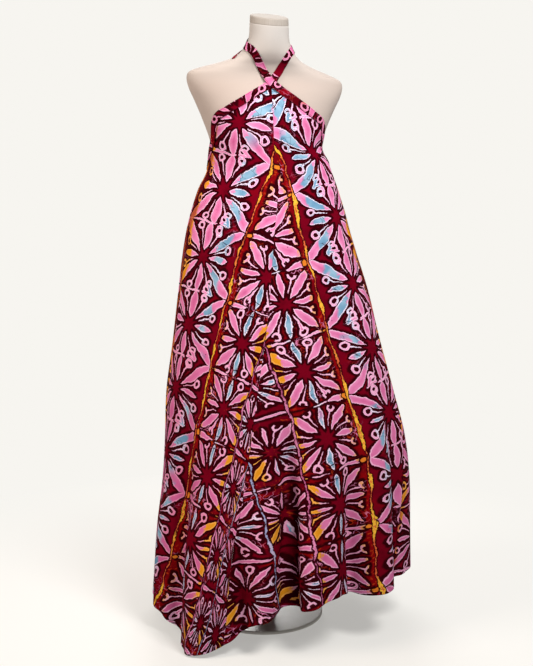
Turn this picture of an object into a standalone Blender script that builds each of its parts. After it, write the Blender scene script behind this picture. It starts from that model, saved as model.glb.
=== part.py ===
"""Batik halter maxi dress on a limbless dress form with a pole and a round base.

Metres, +Z up. The origin is on the floor, at the axis of the pole. The dress faces -Y, and
left and right are meant as seen from the front: left is -X, right is +X. Angles run round
the body in degrees: 0 is the centre front, 90 the right side, 180 the centre back.
"""
import math
from collections import namedtuple

import bmesh
import bpy
from mathutils import Vector

for thing in list(bpy.data.objects):
    bpy.data.objects.remove(thing)

# Cloth and seams
CLOTH_THICKNESS = 0.0014
BAND_THICKNESS = 0.0016
BAND_WIDTH = 0.0185
TIE_WIDTH = 0.011
SEAM_GAP = 0.0003
LAYER_GAP = 0.0005
PANEL_TO_BAND = 0.0010
CLOTH_TO_FORM = 0.0017

# Grid of each panel, and steps along and round the other pieces
PANEL_COLUMNS = 21
PANEL_ROWS = 24
ROW_SPREAD = 1.6
STEEP_ROWS = 7
FORM_COLUMNS = 40
STATION_STEP = 0.010

# Steps by which slopes are taken: degrees round the body, metres up it and along a band
TURN_STEP = 0.05
RISE_STEP = 0.0005
LOOK_AHEAD = 0.002
NEAREST_ROUNDS = 8
HALVING_ROUNDS = 40

# The form leans to the right above the waist, as the one it is made after does
FORM_LEAN = 0.061
LEAN_START = 1.02
LEAN_FULL = 1.22

# The neck ends in a flat cap that slants down to the front
NECK_SLANT = 0.21
SLANT_START = 1.445
SLANT_FULL = 1.480
NECK_AXIS = -0.070

# Seams and the middle of the back, as angles round the body
CENTRE_FRONT = 0.0
SIDE_SEAM = 90.0
CENTRE_BACK = 180.0

# Stand
BASE_RADIUS = 0.150
BASE_HEIGHT = 0.008
BASE_BEVEL = 0.002
BOSS_RADIUS = 0.026
BOSS_HEIGHT = 0.045
POLE_RADIUS = 0.0125
ROUND_STEPS = 40

# Knot and tie ends at the nape
KNOT_HALF_WIDTH = 0.016
KNOT_HALF_DEPTH = 0.009
KNOT_HALF_HEIGHT = 0.014
KNOT_SQUARENESS = 3.0
KNOT_RINGS = 10
KNOT_COLUMNS = 16

# Crossing of the two halter bands, as distances along a band from the centre front
CROSSING_FLAT = 0.020
CROSSING_RAMP = 0.016
BAND_SPLIT = 0.022

# Stretches of the top edge that the bands follow, a little past the side seams
HALTER_BAND_REACH = 108.0
BACK_BAND_REACH = 80.0

Section = namedtuple("Section", "height half_width middle front back")
FORM_SECTIONS = (
    Section(0.720, 0.150, 0.012, 0.098, 0.110),
    Section(0.742, 0.163, 0.012, 0.108, 0.120),
    Section(0.800, 0.167, 0.012, 0.112, 0.122),
    Section(0.900, 0.148, 0.005, 0.103, 0.104),
    Section(1.030, 0.119, -0.006, 0.088, 0.080),
    Section(1.120, 0.123, -0.010, 0.106, 0.088),
    Section(1.190, 0.132, -0.013, 0.117, 0.096),
    Section(1.244, 0.151, -0.013, 0.110, 0.099),
    Section(1.285, 0.169, -0.013, 0.099, 0.098),
    Section(1.315, 0.183, -0.014, 0.088, 0.094),
    Section(1.338, 0.188, -0.016, 0.078, 0.086),
    Section(1.353, 0.181, -0.020, 0.071, 0.078),
    Section(1.364, 0.155, -0.026, 0.066, 0.070),
    Section(1.376, 0.116, -0.036, 0.060, 0.063),
    Section(1.389, 0.083, -0.048, 0.056, 0.057),
    Section(1.402, 0.066, -0.057, 0.053, 0.053),
    Section(1.416, 0.055, -0.064, 0.049, 0.049),
    Section(1.438, 0.0475, -0.068, 0.047, 0.047),
    Section(1.470, 0.0455, -0.070, 0.045, 0.045),
    Section(1.488, 0.0445, -0.070, 0.044, 0.044),
)
FORM_RING_HEIGHTS = (
    0.720, 0.728, 0.742, 0.770, 0.820, 0.880, 0.950, 1.030, 1.090, 1.130, 1.160, 1.190, 1.220,
    1.250, 1.275, 1.300, 1.320, 1.335, 1.346, 1.354, 1.361, 1.368, 1.376, 1.384, 1.391, 1.398,
    1.404, 1.410, 1.416, 1.422, 1.428, 1.434, 1.440, 1.447, 1.456, 1.472, 1.485, 1.488,
)
NECK_EDGE_RADIUS = 0.003

# The dress lies on the form down to FIT_END, and hangs free in these sections below FREE_START.
# Front and back are measured from the axis of the pole.
FIT_END = 1.205
FREE_START = 1.150
Skirt = namedtuple("Skirt", "height left right front back twist")
SKIRT_SECTIONS = (
    Skirt(0.000, 0.283, 0.364, 0.296, 0.275, -34.0),
    Skirt(0.080, 0.279, 0.363, 0.290, 0.272, -33.0),
    Skirt(0.240, 0.270, 0.361, 0.271, 0.262, -31.0),
    Skirt(0.360, 0.255, 0.361, 0.254, 0.250, -28.0),
    Skirt(0.480, 0.247, 0.350, 0.238, 0.234, -24.5),
    Skirt(0.594, 0.241, 0.321, 0.223, 0.214, -20.0),
    Skirt(0.710, 0.226, 0.289, 0.206, 0.190, -15.5),
    Skirt(0.820, 0.212, 0.260, 0.190, 0.165, -11.0),
    Skirt(0.935, 0.197, 0.224, 0.174, 0.140, -6.5),
    Skirt(1.008, 0.183, 0.202, 0.162, 0.110, -3.5),
    Skirt(1.080, 0.160, 0.181, 0.146, 0.090, -1.0),
    Skirt(1.120, 0.139, 0.167, 0.138, 0.081, 0.0),
    Skirt(1.155, 0.132, 0.155, 0.134, 0.082, 0.0),
    Skirt(1.185, 0.136, 0.148, 0.133, 0.086, 0.0),
    Skirt(1.215, 0.145, 0.147, 0.131, 0.090, 0.0),
)

# Soft folds of the skirt: ridges stand out, troughs go in. Each starts at a height and grows
# down to the hem, while its angle moves from the one at the top to the one at the hem.
Fold = namedtuple("Fold", "top_angle hem_angle start width depth")
FOLDS = (
    Fold(-70, -78, 0.95, 9, 0.012),
    Fold(-60, -61, 0.80, 6, -0.022),
    Fold(-40, -44, 0.62, 11, 0.046),
    Fold(-30, -27, 0.40, 6, -0.026),
    Fold(-22, -18, 0.52, 6, 0.014),
    Fold(-8, -7, 0.68, 5, -0.040),
    Fold(4, 1, 0.50, 6, 0.014),
    Fold(12, 13, 0.85, 8, 0.016),
    Fold(22, 26, 0.62, 6, -0.030),
    Fold(36, 42, 0.90, 8, 0.022),
    Fold(52, 55, 0.70, 5, -0.024),
    Fold(66, 72, 0.95, 8, 0.014),
    Fold(84, 88, 0.80, 6, -0.026),
    Fold(100, 104, 0.90, 9, 0.020),
    Fold(118, 122, 0.72, 6, -0.030),
    Fold(134, 138, 0.85, 8, 0.024),
    Fold(150, 153, 0.60, 6, -0.026),
    Fold(168, 170, 0.92, 9, 0.022),
    Fold(186, 188, 0.70, 6, -0.034),
    Fold(204, 206, 0.88, 9, 0.026),
    Fold(222, 224, 0.64, 6, -0.028),
    Fold(238, 240, 0.84, 8, 0.020),
    Fold(256, 260, 0.74, 6, -0.028),
)

# Line along which the halter bands bind the top edge, from the crossing to the centre back
Edge = namedtuple("Edge", "angle height")
TOP_EDGE = (
    Edge(0, 1.334),
    Edge(20, 1.295),
    Edge(40, 1.266),
    Edge(51, 1.254),
    Edge(60, 1.235),
    Edge(70, 1.205),
    Edge(80, 1.178),
    Edge(92, 1.152),
    Edge(108, 1.130),
    Edge(130, 1.117),
    Edge(155, 1.113),
    Edge(180, 1.112),
)
EDGE_UNDER_BAND = 0.003

# Line of each strap from the crossing up the chest and round the neck to the nape
STRAP_LINE = (
    Edge(4.5, 1.3555),
    Edge(13.5, 1.377),
    Edge(32, 1.397),
    Edge(52, 1.409),
    Edge(80, 1.416),
    Edge(100, 1.4206),
    Edge(140, 1.437),
    Edge(180, 1.446),
    Edge(220, 1.437),
)
NAPE_HEIGHT = 1.446

# Lines of the two tie ends that come out of the knot
LEFT_TIE_LINE = (
    Edge(-166, 1.424),
    Edge(-145, 1.416),
    Edge(-120, 1.408),
    Edge(-98, 1.399),
    Edge(-80, 1.391),
    Edge(-66, 1.385),
)
BACK_TIE_LINE = (
    Edge(178, 1.425),
    Edge(175, 1.390),
    Edge(174, 1.340),
    Edge(173.5, 1.290),
    Edge(173.5, 1.235),
)

# Height of the hem above the floor round the dress, lowest where the front swings out
Hem = namedtuple("Hem", "angle height")
HEM = (
    Hem(-180, 0.095),
    Hem(-140, 0.075),
    Hem(-105, 0.085),
    Hem(-85, 0.078),
    Hem(-72, 0.050),
    Hem(-58, 0.010),
    Hem(-45, 0.004),
    Hem(-34, 0.026),
    Hem(-18, 0.090),
    Hem(0, 0.118),
    Hem(14, 0.142),
    Hem(28, 0.124),
    Hem(45, 0.126),
    Hem(62, 0.128),
    Hem(85, 0.146),
    Hem(130, 0.125),
    Hem(180, 0.095),
)
FOLD_HEM_HEIGHT = 0.06

# Colours of the finishes, and how rough they are
JERSEY_COLOUR = (0.76, 0.68, 0.61)
STAND_COLOUR = (0.84, 0.81, 0.76)
FRONT_COLOUR = (0.55, 0.12, 0.30)
BACK_COLOUR = (0.46, 0.08, 0.24)
BAND_COLOUR = (0.36, 0.03, 0.12)
JERSEY_ROUGHNESS = 0.80
STAND_ROUGHNESS = 0.45
COTTON_ROUGHNESS = 0.75

# Edges that turn by more degrees than this stay sharp
SHARP_ON_CLOTH = 60.0
SHARP_ON_KNOT = 70.0
SHARP_ON_FORM = 40.0
SHARP_ON_STAND = 30.0


def smooth_step(value):
    """Ease from 0 to 1 while value goes from 0 to 1."""
    value = min(max(value, 0.0), 1.0)
    return value * value * (3.0 - 2.0 * value)


def smooth_curve(points):
    """Return a function that reads a smooth curve through (position, value) points."""
    points = sorted(points)
    slopes = []
    for index in range(len(points)):
        before = points[max(index - 1, 0)]
        after = points[min(index + 1, len(points) - 1)]
        slopes.append((after[1] - before[1]) / (after[0] - before[0]))

    def read(position):
        position = min(max(position, points[0][0]), points[-1][0])
        index = 0
        while index < len(points) - 2 and position > points[index + 1][0]:
            index += 1
        start, end = points[index], points[index + 1]
        step = end[0] - start[0]
        part = (position - start[0]) / step
        rise = end[1] - start[1]
        pull_start = slopes[index] * step
        pull_end = slopes[index + 1] * step
        cubic = pull_start + pull_end - 2.0 * rise
        square = 3.0 * rise - 2.0 * pull_start - pull_end
        return start[1] + part * (pull_start + part * (square + part * cubic))

    return read


form_half_width = smooth_curve((row.height, row.half_width) for row in FORM_SECTIONS)
form_middle = smooth_curve((row.height, row.middle) for row in FORM_SECTIONS)
form_front = smooth_curve((row.height, row.front) for row in FORM_SECTIONS)
form_back = smooth_curve((row.height, row.back) for row in FORM_SECTIONS)

skirt_left = smooth_curve((row.height, row.left) for row in SKIRT_SECTIONS)
skirt_right = smooth_curve((row.height, row.right) for row in SKIRT_SECTIONS)
skirt_front = smooth_curve((row.height, row.front) for row in SKIRT_SECTIONS)
skirt_back = smooth_curve((row.height, row.back) for row in SKIRT_SECTIONS)
dress_twist = smooth_curve((row.height, row.twist) for row in SKIRT_SECTIONS)
edge_height = smooth_curve(
    [(row.angle, row.height) for row in TOP_EDGE]
    + [(-row.angle, row.height) for row in TOP_EDGE[1:]]
)
hem_height = smooth_curve((row.angle, row.height) for row in HEM)


def wrapped(angle):
    """Bring an angle in degrees into the range from -180 to 180."""
    return (angle + 180.0) % 360.0 - 180.0


def leaned(point):
    """Lower the right of the form and the dress on it, and raise the left."""
    share = smooth_step((point.z - LEAN_START) / (LEAN_FULL - LEAN_START))
    slant = smooth_step((point.z - SLANT_START) / (SLANT_FULL - SLANT_START))
    lift = slant * NECK_SLANT * (point.y - NECK_AXIS)
    return Vector((point.x, point.y, point.z - share * FORM_LEAN * point.x + lift))


def form_point(angle, height):
    """Point on the skin of the form."""
    turn = math.radians(angle)
    depth = form_front(height) if math.cos(turn) > 0.0 else form_back(height)
    x = form_half_width(height) * math.sin(turn)
    y = form_middle(height) - depth * math.cos(turn)
    return leaned(Vector((x, y, height)))


def fold_offset(angle, height):
    """How far the folds move the cloth outwards at an angle and a height."""
    total = 0.0
    for fold in FOLDS:
        if height >= fold.start:
            continue
        down = (fold.start - height) / (fold.start - FOLD_HEM_HEIGHT)
        centre = fold.top_angle + (fold.hem_angle - fold.top_angle) * min(down, 1.0)
        away = wrapped(angle - centre) / fold.width
        total += fold.depth * smooth_step(down) * math.exp(-away * away)
    return total


def blend(start, end, share):
    """Value between start and end."""
    return start + (end - start) * share


def skin_point(angle, height):
    """Point that the cloth lies on: the form above, and the hanging sections below."""
    fit = smooth_step((height - FREE_START) / (FIT_END - FREE_START))
    if fit >= 1.0:
        return form_point(angle, height)
    turn = math.radians(angle)
    half_width = 0.5 * (skirt_right(height) + skirt_left(height))
    depth = skirt_front(height) if math.cos(turn) > 0.0 else skirt_back(height)
    x = 0.5 * (skirt_right(height) - skirt_left(height)) + half_width * math.sin(turn)
    y = -depth * math.cos(turn)
    outward = Vector((math.sin(turn) / half_width, -math.cos(turn) / depth, 0.0)).normalized()
    hanging = leaned(Vector((x, y, height)) + outward * fold_offset(angle, height))
    return blend(hanging, form_point(angle, height), fit)


def slopes(point_at, angle, height):
    """How a surface's point moves with the angle, in degrees, and with the height."""
    across = point_at(angle + TURN_STEP, height) - point_at(angle - TURN_STEP, height)
    up = point_at(angle, height + RISE_STEP) - point_at(angle, height - RISE_STEP)
    return across / (2.0 * TURN_STEP), up / (2.0 * RISE_STEP)


def normal_of(point_at, angle, height):
    """Direction out of a surface."""
    across, up = slopes(point_at, angle, height)
    return across.cross(up).normalized()


def dress_point(angle, height):
    """Point in the middle of the cloth."""
    return skin_point(angle, height) + normal_of(skin_point, angle, height) * CLOTH_TO_FORM


def nearest_place(target, angle, height):
    """Angle and height of the point on the dress surface that is nearest to the target."""
    for _ in range(NEAREST_ROUNDS):
        miss = target - dress_point(angle, height)
        across, up = slopes(dress_point, angle, height)
        aa, bb, ab = across.dot(across), up.dot(up), across.dot(up)
        ma, mb = miss.dot(across), miss.dot(up)
        spread = aa * bb - ab * ab
        angle += (ma * bb - mb * ab) / spread
        height += (mb * aa - ma * ab) / spread
    return angle, height


def material(name, colour, roughness):
    """A plain finish of one colour, with no metal in it."""
    finish = bpy.data.materials.new(name)
    finish.use_nodes = True
    shader = finish.node_tree.nodes["Principled BSDF"]
    shader.inputs["Base Color"].default_value = (*colour, 1.0)
    shader.inputs["Roughness"].default_value = roughness
    shader.inputs["Metallic"].default_value = 0.0
    return finish


FORM_FINISH = material("form jersey", JERSEY_COLOUR, JERSEY_ROUGHNESS)
STAND_FINISH = material("stand paint", STAND_COLOUR, STAND_ROUGHNESS)
FRONT_FINISH = material("front cotton", FRONT_COLOUR, COTTON_ROUGHNESS)
BACK_FINISH = material("back cotton", BACK_COLOUR, COTTON_ROUGHNESS)
BAND_FINISH = material("band cotton", BAND_COLOUR, COTTON_ROUGHNESS)


def add_object(name, mesh, finish, smooth_angle):
    """Put a mesh into the scene with its finish, smooth but for edges over the angle."""
    mesh.materials.append(finish)
    mesh.shade_smooth()
    mesh.set_sharp_from_angle(angle=math.radians(smooth_angle))
    thing = bpy.data.objects.new(name, mesh)
    bpy.context.scene.collection.objects.link(thing)
    return thing


def stacked_rings(name, rings, finish, smooth_angle):
    """Solid through closed rings of equal length, from the lowest up, with flat ends."""
    shape = bmesh.new()
    corners = [[shape.verts.new(point) for point in ring] for ring in rings]
    count = len(rings[0])
    for lower, upper in zip(corners, corners[1:]):
        for index in range(count):
            after = (index + 1) % count
            shape.faces.new((lower[index], lower[after], upper[after], upper[index]))
    shape.faces.new(list(reversed(corners[0])))
    shape.faces.new(corners[-1])
    mesh = bpy.data.meshes.new(name)
    shape.to_mesh(mesh)
    shape.free()
    return add_object(name, mesh, finish, smooth_angle)


def walled_grid(name, outer, inner, finish):
    """Solid wall between two grids of points, with faces all round its edges.

    The grids run from top to bottom and, seen from outside, from left to right.
    """
    shape = bmesh.new()
    out = [[shape.verts.new(point) for point in row] for row in outer]
    back = [[shape.verts.new(point) for point in row] for row in inner]
    rows, columns = len(outer), len(outer[0])
    for row in range(rows - 1):
        for column in range(columns - 1):
            after, below = column + 1, row + 1
            shape.faces.new(
                (out[row][column], out[below][column], out[below][after], out[row][after])
            )
            shape.faces.new(
                (back[row][column], back[row][after], back[below][after], back[below][column])
            )
    for row in range(rows - 1):
        below = row + 1
        shape.faces.new((out[row][0], back[row][0], back[below][0], out[below][0]))
        shape.faces.new((out[row][-1], out[below][-1], back[below][-1], back[row][-1]))
    for column in range(columns - 1):
        after = column + 1
        shape.faces.new((out[0][column], out[0][after], back[0][after], back[0][column]))
        shape.faces.new((out[-1][column], back[-1][column], back[-1][after], out[-1][after]))
    steep = 2 * (columns - 1) * STEEP_ROWS
    walls = shape.faces[:]
    bmesh.ops.triangulate(shape, faces=walls[:steep], quad_method="SHORT_EDGE")
    if len(walls) > steep:
        bmesh.ops.triangulate(shape, faces=walls[steep:], quad_method="FIXED")
    mesh = bpy.data.meshes.new(name)
    shape.to_mesh(mesh)
    shape.free()
    return add_object(name, mesh, finish, SHARP_ON_CLOTH)


def panel_place(start_angle, end_angle, across, down):
    """Angle and height on the dress at a share across and down a panel."""
    top_angle = start_angle + (end_angle - start_angle) * across
    top = edge_height(wrapped(top_angle)) - EDGE_UNDER_BAND
    hem = hem_height(wrapped(top_angle + dress_twist(FOLD_HEM_HEIGHT)))
    height = top + (hem - top) * down ** ROW_SPREAD
    return top_angle + dress_twist(height), height


def make_panel(name, start_angle, end_angle, finish):
    """One of the four cut pieces, from its top edge to the hem, between two seams."""
    outer, inner = [], []
    for row in range(PANEL_ROWS + 1):
        outer_row, inner_row = [], []
        for column in range(PANEL_COLUMNS + 1):
            across = column / PANEL_COLUMNS
            angle, height = panel_place(start_angle, end_angle, across, row / PANEL_ROWS)
            gap_angle = 0.5 * SEAM_GAP / slopes(dress_point, angle, height)[0].length
            if column == 0:
                angle += gap_angle
            if column == PANEL_COLUMNS:
                angle -= gap_angle
            middle = dress_point(angle, height)
            out = normal_of(dress_point, angle, height) * (0.5 * CLOTH_THICKNESS)
            outer_row.append(middle + out)
            inner_row.append(middle - out)
        outer.append(outer_row)
        inner.append(inner_row)
    return walled_grid(name, outer, inner, finish)


def route_through(line):
    """Places at even steps along a smooth line through (angle, height) rows."""
    lengths = [0.0]
    for before, after in zip(line, line[1:]):
        step = dress_point(*after) - dress_point(*before)
        lengths.append(lengths[-1] + step.length)
    angle_at = smooth_curve(zip(lengths, [place[0] for place in line]))
    height_at = smooth_curve(zip(lengths, [place[1] for place in line]))
    return lengths[-1], angle_at, height_at


def length_where(angle_at, angle, whole):
    """Length along a line at which its angle passes the given one."""
    low, high = 0.0, whole
    rising = angle_at(whole) > angle_at(0.0)
    for _ in range(HALVING_ROUNDS):
        middle = 0.5 * (low + high)
        if (angle_at(middle) < angle) == rising:
            low = middle
        else:
            high = middle
    return low


def make_band(name, line, width, offset_at, start, end, finish):
    """Flat strip of cloth that lies along a line on the dress or the form.

    start and end are lengths along the line, and offset_at says how far the middle of the
    strip lies out of the dress surface at a length.
    """
    whole, angle_at, height_at = route_through(line)
    steps = max(2, round((end - start) / STATION_STEP))
    outer, inner = [], []
    for step in range(steps + 1):
        length = start + (end - start) * step / steps
        angle, height = angle_at(length), height_at(length)
        ahead, behind = min(length + LOOK_AHEAD, whole), max(length - LOOK_AHEAD, 0.0)
        along = dress_point(angle_at(ahead), height_at(ahead))
        along -= dress_point(angle_at(behind), height_at(behind))
        sideways = normal_of(dress_point, angle, height).cross(along).normalized()
        outer_row, inner_row = [], []
        for side in (-0.5, 0.0, 0.5):
            target = dress_point(angle, height) + sideways * (side * width)
            place = nearest_place(target, angle, height)
            normal = normal_of(dress_point, *place)
            middle = dress_point(*place) + normal * offset_at(length)
            outer_row.append(middle + normal * (0.5 * BAND_THICKNESS))
            inner_row.append(middle - normal * (0.5 * BAND_THICKNESS))
        outer.append(outer_row)
        inner.append(inner_row)
    return walled_grid(name, outer, inner, finish)


# Offsets of a band's middle out of the dress surface
ON_FORM = 0.5 * (BAND_THICKNESS - CLOTH_THICKNESS)
ON_PANEL = 0.5 * (CLOTH_THICKNESS + BAND_THICKNESS) + PANEL_TO_BAND
ON_BAND = ON_PANEL + BAND_THICKNESS + LAYER_GAP


def crossing_offset(from_crossing, top_offset):
    """Offset of a band near the crossing: on the panel, over the crossing, on the form."""
    rise = smooth_step((abs(from_crossing) - CROSSING_FLAT) / CROSSING_RAMP)
    rest = ON_PANEL if from_crossing < 0.0 else ON_FORM
    return top_offset + (rest - top_offset) * rise


def make_halter_band(side, side_name, strap_name, top_offset):
    """Binding of one armhole and the strap that it turns into past the crossing."""
    bound = [row for row in TOP_EDGE if row.angle <= HALTER_BAND_REACH]
    line = [(side * row.angle, row.height) for row in reversed(bound)]
    binding_length = route_through(line)[0]
    line += [(-side * row.angle, row.height) for row in STRAP_LINE]
    whole, angle_at, _ = route_through(line)
    side_seam = length_where(angle_at, side * SIDE_SEAM, whole)
    nape = length_where(angle_at, -side * CENTRE_BACK, whole)

    def offset_at(length):
        return crossing_offset(length - binding_length, top_offset)

    split = binding_length + BAND_SPLIT
    make_band(
        f"armhole_binding_{side_name}", line, BAND_WIDTH, offset_at,
        side_seam + SEAM_GAP, split, BAND_FINISH,
    )
    make_band(
        f"halter_strap_{strap_name}", line, BAND_WIDTH, offset_at,
        split + SEAM_GAP, nape - 0.5 * SEAM_GAP, BAND_FINISH,
    )


def make_back_binding():
    """Binding of the back's top edge, from side seam to side seam."""
    right = [(row.angle, row.height) for row in TOP_EDGE if row.angle >= BACK_BAND_REACH]
    line = right + [(360.0 - angle, height) for angle, height in reversed(right[:-1])]
    whole, angle_at, _ = route_through(line)
    right_seam = length_where(angle_at, SIDE_SEAM, whole)
    left_seam = length_where(angle_at, 360.0 - SIDE_SEAM, whole)
    make_band(
        "back_binding", line, BAND_WIDTH, lambda length: ON_PANEL,
        right_seam + SEAM_GAP, left_seam - SEAM_GAP, BAND_FINISH,
    )


def make_tie_end(name, line):
    """Loose end of a halter band, which lies on the form below the knot."""
    whole = route_through(line)[0]
    make_band(name, line, TIE_WIDTH, lambda length: ON_FORM, 0.0, whole, BAND_FINISH)


def signed_power(value, power):
    """Power of a number that keeps its sign."""
    return math.copysign(abs(value) ** power, value)


def make_knot():
    """Rounded lump of the knot, on the straps where they meet at the nape."""
    nape = (CENTRE_BACK, NAPE_HEIGHT)
    out = normal_of(dress_point, *nape)
    seat = ON_FORM + 0.5 * BAND_THICKNESS + LAYER_GAP
    centre = dress_point(*nape) + out * (seat + KNOT_HALF_DEPTH)
    across = Vector((0.0, 0.0, 1.0)).cross(out).normalized()
    upward = out.cross(across)
    power = 2.0 / KNOT_SQUARENESS
    rings = []
    for ring in range(1, KNOT_RINGS):
        climb = math.pi * (ring / KNOT_RINGS - 0.5)
        level = KNOT_HALF_HEIGHT * signed_power(math.sin(climb), power)
        reach = abs(math.cos(climb)) ** power
        points = []
        for column in range(KNOT_COLUMNS):
            turn = 2.0 * math.pi * column / KNOT_COLUMNS
            wide = KNOT_HALF_WIDTH * reach * signed_power(math.cos(turn), power)
            deep = KNOT_HALF_DEPTH * reach * signed_power(math.sin(turn), power)
            points.append(centre + across * wide - out * deep + upward * level)
        rings.append(points)
    stacked_rings("halter_knot", rings, BAND_FINISH, SHARP_ON_KNOT)


def make_form():
    """Torso with its shoulders and neck, whole and smooth."""
    rings = []
    for height in FORM_RING_HEIGHTS:
        ring = []
        for column in range(FORM_COLUMNS):
            ring.append(form_point(360.0 * column / FORM_COLUMNS, height))
        rings.append(ring)
    top = rings[-1]
    middle = sum(top, Vector()) / len(top)
    rings[-1] = [point + (middle - point).normalized() * NECK_EDGE_RADIUS for point in top]
    stacked_rings("form_torso", rings, FORM_FINISH, SHARP_ON_FORM)


def circle(radius, height):
    """Points round a circle about the axis of the stand."""
    points = []
    for step in range(ROUND_STEPS):
        turn = 2.0 * math.pi * step / ROUND_STEPS
        points.append(Vector((radius * math.cos(turn), radius * math.sin(turn), height)))
    return points


def make_stand():
    """Round base plate with a boss, and the pole between it and the torso."""
    profile = (
        (BASE_RADIUS, 0.0),
        (BASE_RADIUS, BASE_HEIGHT - BASE_BEVEL),
        (BASE_RADIUS - BASE_BEVEL, BASE_HEIGHT),
        (BOSS_RADIUS + BASE_BEVEL, BASE_HEIGHT),
        (BOSS_RADIUS, BASE_HEIGHT + BASE_BEVEL),
        (BOSS_RADIUS, BOSS_HEIGHT - BASE_BEVEL),
        (BOSS_RADIUS - BASE_BEVEL, BOSS_HEIGHT),
    )
    base = [circle(radius, height) for radius, height in profile]
    stacked_rings("stand_base", base, STAND_FINISH, SHARP_ON_STAND)
    pole_bottom = BOSS_HEIGHT + SEAM_GAP
    pole_top = FORM_SECTIONS[0].height - SEAM_GAP
    pole = [circle(POLE_RADIUS, pole_bottom), circle(POLE_RADIUS, pole_top)]
    stacked_rings("stand_pole", pole, STAND_FINISH, SHARP_ON_STAND)


def main():
    """Make every piece, from the stand up to the tie ends."""
    make_stand()
    make_form()
    make_panel("front_left", -SIDE_SEAM, CENTRE_FRONT, FRONT_FINISH)
    make_panel("front_right", CENTRE_FRONT, SIDE_SEAM, FRONT_FINISH)
    make_panel("back_right", SIDE_SEAM, CENTRE_BACK, BACK_FINISH)
    make_panel("back_left", CENTRE_BACK, 360.0 - SIDE_SEAM, BACK_FINISH)
    make_halter_band(1.0, "right", "left", ON_BAND)
    make_halter_band(-1.0, "left", "right", ON_PANEL)
    make_back_binding()
    make_knot()
    make_tie_end("tie_end_left", LEFT_TIE_LINE)
    make_tie_end("tie_end_back", BACK_TIE_LINE)


main()
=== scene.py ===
"""Looks of the batik halter maxi dress on its dress form.

Metres, +Z up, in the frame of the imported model. Left and right are as seen from the front:
left is -X, right is +X. Angles run round the body in degrees, from 0 at the centre front over
90 at the right side to 180 at the centre back, as in the part's source.
"""
import math
from functools import partial

import bmesh
import bpy
import numpy as np
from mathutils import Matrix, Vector


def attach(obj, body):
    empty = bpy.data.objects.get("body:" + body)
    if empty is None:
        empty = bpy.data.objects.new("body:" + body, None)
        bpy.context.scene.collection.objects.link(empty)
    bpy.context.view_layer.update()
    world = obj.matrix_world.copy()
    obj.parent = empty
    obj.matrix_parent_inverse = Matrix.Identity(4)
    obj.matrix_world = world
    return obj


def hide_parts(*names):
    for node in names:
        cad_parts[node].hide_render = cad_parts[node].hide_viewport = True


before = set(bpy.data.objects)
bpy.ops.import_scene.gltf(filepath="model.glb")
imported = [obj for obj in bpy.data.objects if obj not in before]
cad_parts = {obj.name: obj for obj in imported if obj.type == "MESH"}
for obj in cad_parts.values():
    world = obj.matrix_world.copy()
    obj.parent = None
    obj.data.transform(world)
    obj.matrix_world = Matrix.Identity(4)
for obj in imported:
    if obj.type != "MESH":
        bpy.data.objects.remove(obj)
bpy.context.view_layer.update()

# Camera, at the photo's angle
CAMERA_AZIMUTH = -10.0
CAMERA_DISTANCE = 3.0
CAMERA_HEIGHT = 1.25
CAMERA_PITCH = 9.85
FOCAL_PIXELS = 1226.0
IMAGE_WIDTH = 533.0
AXIS_COLUMN = 264.0
SENSOR_WIDTH = 36.0


def make_camera():
    around = math.radians(CAMERA_AZIMUTH)
    pitch = math.radians(CAMERA_PITCH)
    heading = around + math.atan((AXIS_COLUMN - 0.5 * IMAGE_WIDTH) / FOCAL_PIXELS)
    flat = math.cos(pitch)
    forward = Vector((-math.sin(heading) * flat, math.cos(heading) * flat, -math.sin(pitch)))
    camera = bpy.data.cameras.new("camera")
    camera.sensor_fit = "HORIZONTAL"
    camera.sensor_width = SENSOR_WIDTH
    camera.lens = FOCAL_PIXELS / IMAGE_WIDTH * SENSOR_WIDTH
    holder = bpy.data.objects.new("camera", camera)
    aside, back = CAMERA_DISTANCE * math.sin(around), CAMERA_DISTANCE * math.cos(around)
    holder.location = (aside, -back, CAMERA_HEIGHT)
    holder.rotation_euler = forward.to_track_quat("-Z", "Y").to_euler()
    bpy.context.scene.collection.objects.link(holder)
    bpy.context.scene.camera = holder


make_camera()

# Sizes of the cloth and the surfaces that it hangs on, as in the part's source
CLOTH_THICKNESS = 0.0014
BAND_THICKNESS = 0.0016
BAND_WIDTH = 0.0185
TIE_WIDTH = 0.011
SEAM_GAP = 0.0003
LAYER_GAP = 0.0005
PANEL_TO_BAND = 0.0010
CLOTH_TO_FORM = 0.0017

FORM_LEAN = 0.061
LEAN_START = 1.02
LEAN_FULL = 1.22
NECK_SLANT = 0.21
SLANT_START = 1.445
SLANT_FULL = 1.480
NECK_AXIS = -0.070

CROSSING_FLAT = 0.020
CROSSING_RAMP = 0.016
BAND_SPLIT = 0.022

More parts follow.
